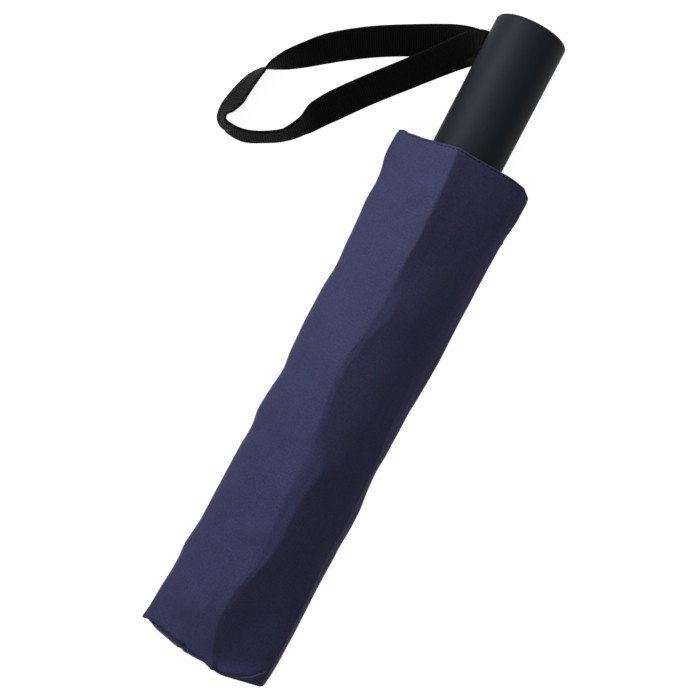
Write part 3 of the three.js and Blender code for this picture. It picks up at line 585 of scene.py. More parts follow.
def wear_finish(piece: Piece, finish: Finish, body: str) -> Piece:
    """Dress a new piece and let it ride on its body.

    Args:
        piece: the piece.
        finish: its finish.
        body: the CAD body that it rides on.

    Returns:
        The same piece.
    """
    finish.dress(piece)
    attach(piece, body)
    LOG.info("%s: %d faces, on %s", piece.name, len(piece.data.polygons), body)
    return piece


def stand_for(piece: Piece, node: str, finish: Finish, body: str, wall: float = 0.0) -> None:
    """Put a new piece in a CAD node's place.

    Args:
        piece: the piece.
        node: the node that it stands for.
        finish: its finish.
        body: the CAD body that it rides on.
        wall: the thickness that a sheet gets inwards from its face, in mm.
    """
    if wall:
        solid = piece.modifiers.new("wall", "SOLIDIFY")
        solid.thickness = wall * MM
        solid.offset = -1.0
    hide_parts(node)
    wear_finish(piece, finish, body)


def dress_node(node: str, finish: Finish, sharp: float = 32.0) -> None:
    """Give a CAD node its finish, with its facets joined and smoothed below an angle.

    Args:
        node: the node's name.
        finish: its finish.
        sharp: edges sharper than this angle stay crisp, in degrees.
    """
    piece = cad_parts[node]
    finish.dress(piece)
    piece.data.shade_smooth()
    piece.modifiers.new("join", "WELD").merge_threshold = 1e-6
    piece.modifiers.new("crisp", "EDGE_SPLIT").split_angle = math.radians(sharp)
    LOG.info("%s: %s", node, finish.name.lower())


# ---- Sleeve ----


@dataclass(frozen=True)
class Line:
    """A line that runs the length of the sleeve, as (place, y, z) stations.

    y is towards the +Y side, z is above the surface, and softness is the width of the bell that
    rounds the cloth there, in mm.
    """

    stations: tuple
    softness: float

    def at(self, x: Array, soften: float) -> Array:
        """The line's course, softened along its length.

        Args:
            x: places along the sleeve, in mm.
            soften: the bell's standard deviation for y, in mm; that for z is twice as wide.

        Returns:
            (y, z) at each place.
        """
        table = np.array(self.stations)
        y = flowing(table[:, [0, 1]], x, soften)
        z = flowing(table[:, [0, 2]], x, 2 * soften)
        return np.stack([y, z], axis=-1)


@dataclass(frozen=True)
class Crease:
    """A soft ridge, or valley where its height is negative, along points (x, y) of the top cloth."""

    points: tuple
    width: float
    height: float
    # the share of its length over which each end fades
    fade: float = 0.22

    def relief(self, x: Array, y: Array) -> Array:
        """A bell over the distance to the crease's line, faded at the line's two ends.

        Args:
            x: one coordinate of the places, in mm.
            y: the other.

        Returns:
            The height at each place, in mm.
        """
        nearest = np.full(x.shape, np.inf)
        share = np.zeros(x.shape)
        turns = np.array(self.points, dtype=float)
        done = run_along(turns)
        for start, leg, before, after in zip(turns, np.diff(turns, axis=0), done, done[1:]):
            from_x, from_y = x - start[0], y - start[1]
            t = np.clip((from_x * leg[0] + from_y * leg[1]) / (leg @ leg), 0, 1)
            gap = np.hypot(from_x - t * leg[0], from_y - t * leg[1])
            closer = gap < nearest
            nearest = np.where(closer, gap, nearest)
            share = np.where(closer, (before + t * (after - before)) / done[-1], share)
        fade = smooth_steps(share, 0.0, self.fade) * smooth_steps(1.0 - share, 0.0, self.fade)
        return self.height * fade * np.exp(-0.5 * (nearest / self.width) ** 2)


@dataclass
class Sleeve:
    """The cloth sleeve: two creases, a soft double ridge, a flat underside, a hem and a sewn base."""

    mouth: float = 83.5
    tail: float = -143.0
    axis_height: float = 20.4
    columns: int = 252
    row_step: float = 1.36
    # closer rows over the tail's creases and along the hem
    end_step: float = 0.8
    tail_reach: float = 13.0
    mouth_reach: float = 6.0
    wall: float = 0.35
    hem_width: float = 3.2
    hem_depth: float = 0.8
    # the stitched groove: how far it lies behind the edge, its depth and its bell's width
    stitch_back: float = 0.45
    groove_depth: float = 0.55
    groove_width: float = 0.45
    # no cloth comes nearer the shaft than the bundle allows, but the empty tail gives way
    closest: float = 19.6
    end_slack: float = 6.0
    # what the side creases lose when the ring is rounded
    rounding_loss: float = 0.9
    line_softness: float = 1.6
    # heights between which the drape sets in above the surface, and the creases near the top
    lifted: tuple = (0.5, 5.0)
    top: tuple = (14.0, 20.0)
    # heights of the long and the short unevenness, and each one's seed, longest and shortest wave
    drape: float = 0.26
    drape_waves: tuple = (11, 64, 24)
    ruffle: float = 0.055
    ruffle_waves: tuple = (5, 20, 8)
    lip_radius: float = 0.45
    # how far from each end its shift reaches
    mouth_draw: float = 30.0
    tail_draw: float = 24.0
    # the base panel: its gap inside the cloth, its rings and how they crowd towards the seam
    base_gap: float = 1.2
    base_rings: int = 34
    base_crowding: float = 1.6
    # the bells that the ring is averaged under, and how they widen away from a line
    bells: tuple = (0.6, 1.2, 2.4, 4.8)
    bell_spread: float = 0.4
    # cut sizes: round the sleeve by along it, and across the base by its height
    cloth_cut: tuple = (156.0, 235.0)
    base_cut: tuple = (58.0, 39.0)
    base_area: float = 1660.0
    # how far the base panel stands out behind the seam, by y
    base_reach: tuple = (
        (-7, 0), (-2, 1.2), (3, 2.6), (9, 4.3), (15, 4.9), (21, 4.8), (26, 4.3), (29, 3), (31, 0.8),
    )
    left_crease: Line = Line((
        (-146, 31.3, 19), (-143, 30.9, 19), (-137, 30.3, 19), (-130, 29.8, 19), (-122, 28.9, 18.5),
        (-115, 28.5, 18), (-109, 29.1, 18), (-104, 28.3, 18), (-98, 27.7, 18), (-88, 27.8, 18),
        (-75, 27.9, 18), (-60, 27.6, 18), (-52, 26.9, 18), (-46, 28.1, 18), (-38, 27.5, 18),
        (-26, 26.5, 18), (-18, 27.5, 18), (-8, 27.8, 18), (5, 27.7, 18), (14, 27.6, 18), (22, 26.9, 18),
        (30, 27.4, 18), (45, 28.2, 18), (53, 28.9, 18.5), (60, 28.1, 19), (66, 28.5, 19.5), (72, 30, 20),
        (79, 30, 20), (84, 30.3, 20),
    ), 1.2)
    left_shoulder: Line = Line((
        (-146, 29.4, 22), (-130, 28.3, 23), (-115, 26, 26), (-108, 25.9, 26.5), (-98, 24.6, 27),
        (-76, 24.6, 27), (-60, 25.2, 26), (-50, 25.4, 25), (-38, 26, 24), (-25, 24.3, 25.5), (0, 24.8, 26),
        (20, 24.2, 26.2), (32, 25.6, 24.5), (50, 27.3, 22.5), (84, 28.6, 22.5),
    ), 4.8)
    left_middle: Line = Line((
        (-146, 14.5, 35), (-134, 13.5, 35.8), (-127, 10.4, 42.6), (-118, 9.2, 44.6), (-109, 13, 38.2),
        (-100, 14, 36.6), (-92, 13, 36.5), (-70, 13, 37.6), (-30, 14.5, 37.4), (20, 14, 37.6),
        (50, 14, 36.6), (84, 16, 35.6),
    ), 3.0)
    ridge: Line = Line((
        (-146, -4.1, 39.4), (-142, -3.9, 40.8), (-138, -1.6, 43), (-133, 0.5, 44.4), (-128, 1.7, 45.4),
        (-122, 2.5, 46.2), (-116, 2.7, 46.8), (-110, 1.9, 47), (-105, 0.7, 47), (-100, -0.5, 47),
        (-94, -0.9, 47), (-88, 0, 47), (-81, 1.2, 47), (-70, 1.7, 47), (-55, 1.5, 47), (-48, 1.8, 47),
        (-41, 2.9, 47), (-33, 4.2, 47), (-25, 5.7, 46.8), (-15, 6.5, 46.6), (-9, 6.4, 46.6),
        (-2, 4.7, 46.8), (5, 3.8, 47), (12, 3.4, 47), (20, 2.8, 47), (30, 2.9, 47), (38, 3.1, 47),
        (45, 2.2, 47), (51, 3.1, 47), (56, 2.7, 47), (64, 3.3, 47), (72, 3.8, 46.8), (84, 5, 46.6),
    ), 0.8)
    second_ridge: Line = Line((
        (-146, -5.6, 36), (-142, -5.6, 37), (-138, -4.2, 39.6), (-132, -1.4, 42.8), (-122, 0.6, 45.2),
        (-110, 0.2, 46), (-103, -1.8, 46.2), (-95, -4.2, 46.4), (-86, -5.2, 46.4), (-76, -4.8, 46.4),
        (-66, -5, 46.4), (-58, -6.6, 46), (-52, -7, 45.8), (-47, -3.6, 46.2), (-42, -0.2, 46.4),
        (-36, 1.8, 46.4), (-28, 3, 46.2), (-20, 3.4, 45.8), (-10, 3.6, 45.6), (-2, 2, 46), (5, 0.6, 46.2),
        (11, -2.2, 45.8), (17, -3.2, 45.6), (23, -1, 46), (29, 0.8, 46.2), (40, 1, 46.2), (60, 1.2, 46.2),
        (84, 2.6, 46),
    ), 2.6)
    right_fold: Line = Line((
        (-146, -12, 35), (-142, -12, 36.6), (-138, -12, 36), (-134, -12.6, 34.6), (-128, -14, 33.2),
        (-120, -15.6, 31.8), (-112, -17.4, 31.4), (-104, -17.8, 32.2), (-95, -16.5, 34.6),
        (-70, -15.8, 36.4), (-40, -13.5, 37.6), (-20, -12, 39.8), (5, -12, 40.8), (20, -12, 41.2),
        (34, -12.8, 39), (60, -13.5, 37), (84, -13.5, 37.4),
    ), 4.6)
    right_shoulder: Line = Line((
        (-147, -26.2, 23.4), (-143, -26.2, 24.4), (-139.5, -26.4, 25.2), (-134, -26.8, 26.4),
        (-126, -27, 25.6), (-116, -27, 24.8), (-108, -26.8, 24.6), (-100, -26.2, 24.4), (-88, -25.6, 25),
        (-70, -26, 25), (-56, -26.2, 23.8), (-47, -26.2, 22.8), (-38, -25.2, 25), (-24, -23.8, 28),
        (-5, -22.8, 29.8), (20, -23, 29.8), (45, -24, 29), (65, -25.6, 28.4), (84, -26.8, 28.4),
    ), 3.6)
    right_crease: Line = Line((
        (-146, -26.4, 18), (-140, -27, 17), (-130, -27.6, 16), (-118, -27.9, 15), (-105, -27.9, 15),
        (-95, -28.1, 15), (-85, -28.5, 15), (-72, -28.9, 15), (-64, -28.7, 15), (-56, -27.9, 15),
        (-48, -27.2, 15.5), (-40, -27.8, 15), (-28, -28, 15), (-12, -28.7, 15), (5, -29.1, 15),
        (20, -29.1, 15), (45, -29.3, 15.5), (60, -29.5, 16), (66, -29.8, 17), (74, -30.6, 18),
        (84, -31, 19),
    ), 1.8)
    under_right: Line = Line(((-146, -15, 0), (84, -15, 0)), 2.5)
    under_left: Line = Line(((-146, 15, 0), (84, 15, 0)), 2.5)
    # the ridge's own softness along the sleeve, in mm
    ridge_softness: tuple = (
        (-146, 0.5), (-140, 0.8), (-130, 2.2), (-108, 2.2), (-98, 3), (-74, 2.8), (-68, 2), (-48, 1.6),
        (-36, 1.8), (-24, 2.6), (-5, 2.4), (6, 2.2), (13, 3.4), (20, 3), (29, 0.9), (84, 0.5),
    )
    # how far the mouth's edge runs ahead of its plane, by y
    mouth_edge: tuple = (
        (-31, -0.5), (-29.5, 0.3), (-27, 1.3), (-22, 1.6), (-17, 1.3), (-12, 0.9), (-6, 0.4), (0, 0.1),
        (5, 0), (10, -0.2), (20, -0.3), (26, 0.1), (28.5, 0.7), (30.5, 0.2),
    )
    # how far the tail's edge is drawn in, by y
    tail_edge: tuple = (
        (-27, -3), (-22, -2.3), (-16, -1.8), (-10, -1.5), (-7, -1.3), (-4.5, -0.7), (0, 0.6), (8, 1.7),
        (9.4, 2), (10.2, 2.7), (11.2, 2), (16, 2), (22, 1.7), (26, 1.2), (29, 0), (31, -1),
    )
    # points of each crease, its width and its height
    creases: tuple = tuple(Crease(*row) for row in (
        (((71, 29), (68, 24), (66, 17)), 1.5, -0.7), (((63, 28), (60, 21), (61, 13)), 2.2, -0.5),
        (((74, 4), (70, 10), (67, 16)), 1.8, -0.55), (((60, 5), (55, 10), (47, 14)), 2.0, -0.65),
        (((66, 5), (62, 12), (54, 20)), 2.4, 0.28), (((51, 29), (48, 22), (44, 14)), 2.6, -0.25),
        (((23, 27), (17, 21), (10, 14)), 3.4, -0.35), (((-26, 27), (-22, 20), (-16, 13)), 3.6, -0.35),
        (((-51, 27), (-53, 20), (-60, 12)), 2.6, -0.38), (((-6, 5.5), (-14, 4.6), (-26, 4.2)), 0.7, 0.22),
        (((-82, -2), (-88, 6), (-93, 14), (-106, 18)), 2.8, 0.9),
        (((-109, 3), (-116, 6.5), (-127, 8)), 2.6, -0.42),
        (((-104, 28), (-110, 22), (-120, 18)), 3.0, -0.40),
        (((-118, 28), (-124, 20), (-133, 14)), 3.4, 0.30),
        (((-47, -27), (-40, -20), (-28, -14)), 2.4, -0.45),
        (((-56, -27), (-62, -19), (-74, -13)), 3.2, 0.30),
        (((-141.4, -4), (-140.8, -9), (-139.8, -14), (-137.2, -19.5), (-134.0, -25.6)), 1.15, 2.0),
        (((-142, 0), (-141.6, -9), (-139.8, -15), (-136.4, -22)), 2.4, 1.5),
        (((-133, -6), (-124, -11), (-112, -17)), 3.4, -0.4),
        (((-97, -26), (-104, -18), (-110, -10)), 3.2, 0.25),
        (((64, -29), (60, -22), (58, -14)), 2.6, -0.25), (((40, -8), (30, -14), (22, -22)), 3.6, 0.25),
    ))
    # a nick in the base panel, along points (y, z)
    base_nick: Crease = Crease(((10.5, 40), (10.0, 33), (11.0, 26)), 0.5, 1.3)

    def rows(self) -> Array:
        """The rows' places, closer together near both ends.

        Returns:
            Places from the tail to the mouth, in mm.
        """
        turns = (self.tail, self.tail + self.tail_reach, self.mouth - self.mouth_reach, self.mouth)
        steps = (self.end_step, self.row_step, self.end_step)
        runs = [
            np.linspace(low, high, round((high - low) / step), endpoint=False)
            for low, high, step in zip(turns, turns[1:], steps)
        ]
        return np.append(np.concatenate(runs), self.mouth)

    def lines(self) -> tuple:
        """The section's corners in order round it, from the +Y crease over the ridge."""
        return (self.left_crease, self.left_shoulder, self.left_middle, self.ridge, self.second_ridge,
                self.right_fold, self.right_shoulder, self.right_crease, self.under_right, self.under_left)

    def outline(self, x: Array) -> Array:
        """The section at each place: its lines joined by straight walls, then rounded round the ring.

        A point at a distance s round the ring is the first corner plus, for each wall, the wall
        times the share of it that s has covered. No point comes nearer the shaft than the bundle
        allows.

        Args:
            x: places along the sleeve, in mm.

        Returns:
            Grid of (places, columns, 3), in mm above the surface that it lies on.
        """
        lines = self.lines()
        corners = np.stack([line.at(x, self.line_softness) for line in lines], axis=1)
        corners[:, lines.index(self.left_crease), 0] += self.rounding_loss
        corners[:, lines.index(self.right_crease), 0] -= self.rounding_loss
        walls = np.roll(corners, -1, axis=1) - corners
        lengths = np.linalg.norm(walls, axis=2)
        starts = np.concatenate([np.zeros((len(x), 1)), np.cumsum(lengths, axis=1)], axis=1)
        run = starts[:, -1:] * np.arange(self.columns) / self.columns
        covered = np.clip((run[:, :, None] - starts[:, None, :-1]) / lengths[:, None, :], 0.0, 1.0)
        ring = corners[:, :1] + np.einsum("rck,rkd->rcd", covered, walls)
        ring = self._rounded(ring, x, run, starts[:, :-1])
        ring[..., 1] -= self.axis_height
        distance = np.linalg.norm(ring, axis=2, keepdims=True)
        closest = self.closest - self.end_slack * (1 - smooth_steps(x, self.tail + 4, self.tail + 32))
        ring = ring * np.maximum(1.0, closest[:, None, None] / distance)
        return np.stack([x[:, None] + 0 * run, ring[..., 0], ring[..., 1] + self.axis_height], axis=-1)

    def _rounded(self, ring: Array, x: Array, run: Array, places: Array) -> Array:
        """Average each point of a ring under its own bell.

        A bell is as wide as its nearest line's softness, plus a share of the distance to it. The
        ring is averaged under four bells, and each point takes a blend of the two nearest its own.

        Args:
            ring: (places along, columns, 2).
            x: places along the sleeve.
            run: distance of each column round the ring.
            places: distance of each line round the ring.

        Returns:
            The rounded ring.
        """
        total = run[:, -1:] + run[:, 1:2]
        want = np.full(run.shape, self.bells[-1])
        ridge = flowing(self.ridge_softness, x, 3.0)[:, None]
        for line, place in zip(self.lines(), places.T):
            away = np.abs(run - place[:, None])
            away = np.minimum(away, total - away)
            soft = ridge if line is self.ridge else line.softness
            want = np.minimum(want, soft + self.bell_spread * away)
        level = np.interp(want, self.bells, np.arange(len(self.bells)))
        result = np.zeros_like(ring)
        step = total.mean() / self.columns
        for order, width in enumerate(self.bells):
            reach = np.arange(-int(3 * width / step) - 1, int(3 * width / step) + 2)
            bell = np.exp(-0.5 * (reach * step / width) ** 2)
            weights = bell / bell.sum()
            soft = sum(weight * np.roll(ring, shift, axis=1) for weight, shift in zip(weights, reach))
            result += soft * np.clip(1.0 - np.abs(level - order), 0.0, 1.0)[..., None]
        return result

    def surface(self, x: Array) -> tuple[Array, Array, Array]:
        """The outer face with its drape, creases, groove and shaped ends.

        Args:
            x: places along the sleeve, in mm.

        Returns:
            (points, normals, distance round the ring), all on the grid.
        """
        points = self.outline(x)
        steps = np.linalg.norm(np.diff(points, axis=1), axis=2)
        around = np.concatenate([np.zeros((len(x), 1)), np.cumsum(steps, axis=1)], axis=1)
        normal = spread_normals(points)
        along = np.broadcast_to(x[:, None], around.shape)
        drape = self.drape * unevenness(*self.drape_waves, around, along * 0.8)
        drape = drape + self.ruffle * unevenness(*self.ruffle_waves, around, along)
        free = smooth_steps(points[..., 2], *self.lifted)
        held = smooth_steps(self.mouth - along, 0.0, 8.0) * smooth_steps(along - self.tail, 0.0, 5.0)
        height = drape * free * (0.35 + 0.65 * held)
        top = smooth_steps(points[..., 2], *self.top)
        for crease in self.creases:
            height += top * crease.relief(along, points[..., 1])
        behind = self.mouth - along - self.stitch_back
        height -= self.groove_depth * np.exp(-0.5 * (behind / self.groove_width) ** 2)
        points = points + normal * height[..., None]
        points[..., 2] = np.maximum(points[..., 2], 0.0)
        points[..., 0] += self._end_shift(*np.moveaxis(points, -1, 0))
        return points, normal, around

    def _end_shift(self, x: Array, y: Array, z: Array) -> Array:
        """How far the cloth runs along X near its two ends, from the edges' stations.

        Args:
            x: the points' places along the sleeve.
            y: their places across it.
            z: their heights; only the upper half follows the stations.

        Returns:
            The shift of each point, in mm.
        """
        upper = smooth_steps(z, 10.0, 22.0)
        mouth, tail = (np.interp(y, *np.array(edge).T) for edge in (self.mouth_edge, self.tail_edge))
        ripple = 0.05 * np.sin(y * 0.9) + 0.03 * np.sin(y * 2.1 + 1.0)
        near = smooth_steps(x, self.mouth - self.mouth_draw, self.mouth)
        far = 1.0 - smooth_steps(x, self.tail, self.tail + self.tail_draw)
        return near * (upper * mouth + near**4 * ripple) + far * (upper * tail - (1 - upper) * 0.8)

    def cloth_grid(self) -> tuple[Array, Array]:
        """The whole cloth: the outside, the hem's fold and the turn-in at the tail's seam.

        Returns:
            (points, weave) for make_surface.
        """
        points, normal, around = self.surface(self.rows())
        hem = self._rolled(points[-1], normal[-1], 0.5 * self.hem_depth, np.linspace(0.2, math.pi, 7))
        back = np.linspace(0.5, self.hem_width, 5)[:, None, None]
        lip = self._rolled(points[0], normal[0], -self.lip_radius, np.linspace(math.pi / 2, 0.25, 4))
        seam = lip[:1] - normal[:1] * 1.3 + AHEAD * 1.1
        points = np.concatenate([seam, lip, points, hem, hem[-1] - AHEAD * back])
        steps = np.linalg.norm(np.diff(points, axis=0), axis=2).mean(axis=1)
        last_step = 0.6
        round_it = np.linspace(0.0, around[:, -1].mean() + last_step, self.columns + 1)
        return points, weave_grid(round_it, np.append(0.0, np.cumsum(steps)))

    @staticmethod
    def _rolled(edge: Array, normal: Array, radius: float, turn: Array) -> Array:
        """Rows that roll an edge inwards: towards +X for a positive radius, -X for a negative one.

        Args:
            edge: the ring at the edge.
            normal: its normals.
            radius: the roll's radius.
            turn: the angle of each row.

        Returns:
            One row for each angle.
        """
        turn = turn[:, None, None]
        return edge + radius * AHEAD * np.sin(turn) - abs(radius) * normal * (1 - np.cos(turn))

    def base_grid(self) -> tuple[Array, Array]:
        """The base panel: rings that shrink from the seam to its middle, domed outwards.

        A point at a share s of the way out stands out by 1 - s^6, times a reach that is longest on
        the upper +Y side.

        Returns:
            (points, weave) for make_surface.
        """
        rim = self.surface(np.array([self.tail, self.tail + 0.4]))[0][0]
        middle = np.array([0.0, 0.0, self.axis_height])
        out = (rim - middle) * (0.0, 1.0, 1.0)
        seam = out * (1.0 - self.base_gap / np.linalg.norm(out, axis=1, keepdims=True))
        share = (1.0 - np.linspace(0.0, 1.0, self.base_rings) ** self.base_crowding)[:, None]
        points = middle + seam * share[..., None]
        high = smooth_steps(rim[None, :, 2], 12.0, 20.0)
        stand = np.interp(rim[None, :, 1], *np.array(self.base_reach).T)
        reach = (1.0 + high * stand) * share + 2.0 * (1 - share)
        dome = 1.0 - share**6
        level = (rim[None, :, 0] + 1.0) * share + (self.tail + 0.6) * (1 - share)
        _, y, z = np.moveaxis(points, -1, 0)
        wrinkle = 0.08 * unevenness(23, 30, 9, y, z) + self.base_nick.relief(y, z)
        points[..., 0] = level + (wrinkle - 1.0 - reach) * dome
        weave = points[..., [1, 2]]
        return points, np.concatenate([weave, weave[:, :1]], axis=1)

    def stitches(self) -> Piece:
        """The hem's stitching: short rounded threads set in the groove round the mouth.

        Returns:
            One object that holds every stitch.
        """
        pitch, length, thick = 2.2, 1.75, 0.2
        sides, hoops = 6, 5
        at = self.mouth - self.stitch_back
        grid, normals, _ = self.surface(np.array([at - 0.4, at, at + 0.4]))
        ring, facing = (np.concatenate([rows[1], rows[1, :1]]) for rows in (grid, normals))
        run = run_along(ring)
        starts = np.arange(0.0, run[-1] - pitch / 2, run[-1] / round(run[-1] / pitch))
        share = np.linspace(0.0, 1.0, hoops)
        place = starts[:, None] + share * length
        out = unit(read_off(place, run, facing))
        path = read_off(place, run, ring) + out * (0.05 + 0.08 * np.sin(math.pi * share))[:, None]
        swell = thick * np.sqrt(np.clip(1.0 - (2 * share - 1) ** 2, 0.02, 1.0))[:, None, None]
        angle = (np.arange(sides) * math.tau / sides)[:, None]
        points = path[:, :, None] + swell * (np.cos(angle) * AHEAD + np.sin(angle) * out[:, :, None])
        one = grid_faces(hoops, sides, True)
        faces = (one[None] + (np.arange(len(starts)) * hoops * sides)[:, None, None]).reshape(-1, 4)
        flat = points.reshape(-1, 3)
        return make_mesh("sleeve_hem_stitching", flat, faces, flat[faces][..., [1, 0]])

    def bartack(self) -> Piece:
        """The dense stitch that locks the side seam, a short padded bar on the -Y crease.

        Returns:
            The bar.
        """
        length, width, height = 1.4, 0.45, 0.2
        place, ridges = 62.0, 9
        u, v = np.meshgrid(np.linspace(0, 1, 22), np.linspace(0, math.tau, 14, endpoint=False), indexing="ij")
        swell = np.sqrt(np.clip(1 - (2 * u - 1) ** 6, 0.0, 1.0)) * (1 + 0.12 * np.sin(u * math.tau * ridges))
        edge = self.outline(np.array([place]))[0]
        _, y, z = edge[edge[:, 1].argmin()]
        points = np.stack([
            place + 0.2 + (u - 0.5) * length,
            y - 0.1 + height * swell * np.cos(v),
            z + 1.0 + width * swell * np.sin(v),
        ], axis=-1)
        weave = np.stack([u * length, v], axis=-1)
        weave = np.concatenate([weave, weave[:, :1] + [0.0, math.tau]], axis=1)
        return make_surface("sleeve_bartack", points, weave, wrap=True)

    def build(self) -> None:
        """Make the sleeve's pieces and stand them for its CAD solids."""
        cloth = make_surface("sleeve_cloth", *self.cloth_grid(), wrap=True)
        stand_for(cloth, "sleeve", Finish.CLOTH, "sleeve", self.wall)
        base = make_surface("sleeve_base_panel", *self.base_grid(), wrap=True)
        merge_doubles(base)
        stand_for(base, "sleeve_base", Finish.CLOTH, "sleeve", self.wall)
        stitching = wear_finish(self.stitches(), Finish.THREAD, "sleeve")
        tack = wear_finish(self.bartack(), Finish.THREAD, "sleeve")


# ---- Wrist strap ----


@dataclass
class WristStrap:
    """A loop of flat webbing, whose two ends are held in the handle."""

    width: float = 15.0
    thickness: float = 1.2
    # the ribs' pitch, and how far they swell its half thickness
    rib: float = 1.0
    rib_height: float = 0.22
    selvage: float = 0.9
    selvage_height: float = 0.98
    # the curve's step in mm, and its samples between two points of the route
    step: float = 0.15
    samples: int = 48
    # (x, y, lift of the lower edge, lean from upright in degrees)
    route: tuple = (
        (131, 10.1, 16.9, 90), (131, 13, 15.8, 90), (131, 16.2, 12.72, 74), (129.3, 19.6, 8.71, 57),
        (125.2, 24.2, 5.17, 51), (119, 30, 2.33, 47), (110, 38, 0.7, 46), (95, 50.8, 0.1, 45),
        (83.2, 60, 0.1, 46), (76, 64.8, 0.1, 38), (69, 67.8, 0.1, 18), (61.8, 73, 0.1, 8),
        (56.4, 81.3, 0.1, 7), (53.6, 88, 0.1, 10), (53.2, 93, 0.07, 10), (54.1, 97.4, 0.02, 9),
        (57, 99.9, 0.02, 24), (61.5, 99.7, 0.1, 35), (66, 98.7, 0.1, 39), (71, 97.8, 0.1, 36),
        (77, 96.2, 0.1, 30), (82, 93.9, 0.1, 20), (86, 91, 0.1, 0), (90.4, 86.9, 0.1, -16),
        (95.8, 81.4, 0.1, -28), (103, 74, 0.1, -41), (110, 65, 0.1, -45), (116, 56, 0.1, -46),
        (122, 45.5, 0.1, -47), (129, 31, 1.8, -52), (131, 22, 6.53, -60), (131, 16, 10.86, -74),
        (131, 12.5, 14.3, -90), (131, 9.6, 15.5, -90),
    )

    def centres(self) -> tuple[Array, Array]:
        """The route's points and leans.

        A point's height is its lift, plus half the width times the cosine of the lean, plus half
        the thickness times the sine.

        Returns:
            (points in mm, leans in radians).
        """
        x, y, lift, lean = np.array(self.route, dtype=float).T
        angle = np.radians(lean)
        height = lift + 0.5 * self.width * np.cos(angle) + 0.5 * self.thickness * np.abs(np.sin(angle))
        return np.stack([x, y, height], axis=1), angle

    def curve(self) -> tuple[Array, Array]:
        """A centripetal Catmull-Rom curve through the route, at even steps along it.

        Returns:
            (points, leans) along the curve.
        """

        def blend(t: Array, low: float, high: float, first: Array, second: Array) -> Array:
            """The line that is at first where t is low and at second where t is high."""
            return ((high - t) * first + (t - low) * second) / (high - low)

        knots, leans = self.centres()
        full = np.vstack([2 * knots[0] - knots[1], knots, 2 * knots[-1] - knots[-2]])
        gaps = np.linalg.norm(np.diff(full, axis=0), axis=1) ** 0.5
        share = np.linspace(0.0, 1.0, self.samples, endpoint=False)[:, None]
        spans = []
        for index in range(len(knots) - 1):
            p = full[index: index + 4]
            at = np.append(0.0, np.cumsum(gaps[index: index + 3]))
            t = at[1] + (at[2] - at[1]) * share
            a = [blend(t, at[k], at[k + 1], p[k], p[k + 1]) for k in range(3)]
            b = [blend(t, at[k], at[k + 2], a[k], a[k + 1]) for k in range(2)]
            spans.append(blend(t, at[1], at[2], *b))
        dense = np.vstack(spans + [knots[-1:]])
        lean = np.interp(np.arange(len(dense)) / self.samples, np.arange(len(leans)), leans)
        run = run_along(dense)
        even = np.linspace(0.0, run[-1], int(run[-1] / self.step) + 1)
        return read_off(even, run, dense), np.interp(even, run, lean)

    def build(self) -> None:
        """Make the webbing: a rounded flat section carried along the curve, ribbed across."""
        centre, lean = self.curve()
        along = unit(np.gradient(centre, axis=0))
        right = unit(np.stack([along[:, 1], -along[:, 0], 0 * lean], axis=1))
        across = np.array([0.0, 0.0, 1.0]) * np.cos(lean)[:, None] + right * np.sin(lean)[:, None]
        across = unit(across - along * np.sum(across * along, axis=1, keepdims=True))
        face = np.cross(along, across)
        u, v = self._section()
        run = np.arange(len(centre)) * self.step
        rib = 1.0 + self.rib_height * np.sin(run * math.tau / self.rib)
        ribbed = np.abs(u) < 0.5 * self.width - self.selvage
        swell = np.where(ribbed, rib[:, None], self.selvage_height)
        points = centre[:, None] + across[:, None] * u[:, None] + face[:, None] * (v * swell)[..., None]
        caps = [end.mean(axis=1, keepdims=True) + 0 * end for end in (points[:1], points[-1:])]
        weave = weave_grid(np.append(u, u[0]), run)
        strap = make_surface(
            "wrist_strap_webbing", np.concatenate([caps[0], points, caps[1]]),
            np.concatenate([weave[:1], weave, weave[-1:]]), wrap=True,
        )
        merge_doubles(strap)
        stand_for(strap, "wrist_strap", Finish.WEBBING, "handle")

    def _section(self) -> tuple[Array, Array]:
        """The webbing's section: two flat faces and half-round edges.

        Returns:
            (u across, v through) in mm, going once round.
        """
        radius = 0.5 * self.thickness
        middle = 0.5 * self.width - radius
        flat = np.linspace(-middle, middle, 10)
        turn = np.linspace(math.pi / 2, -math.pi / 2, 6)[1:-1]
        edge = middle + radius * np.cos(turn)
        rise = radius * np.sin(turn)
        u = np.concatenate([flat, edge, flat[::-1], -edge])
        v = np.concatenate([0 * flat + radius, rise, 0 * flat - radius, -rise])
        return u, v


# ---- Rolled canopy ----


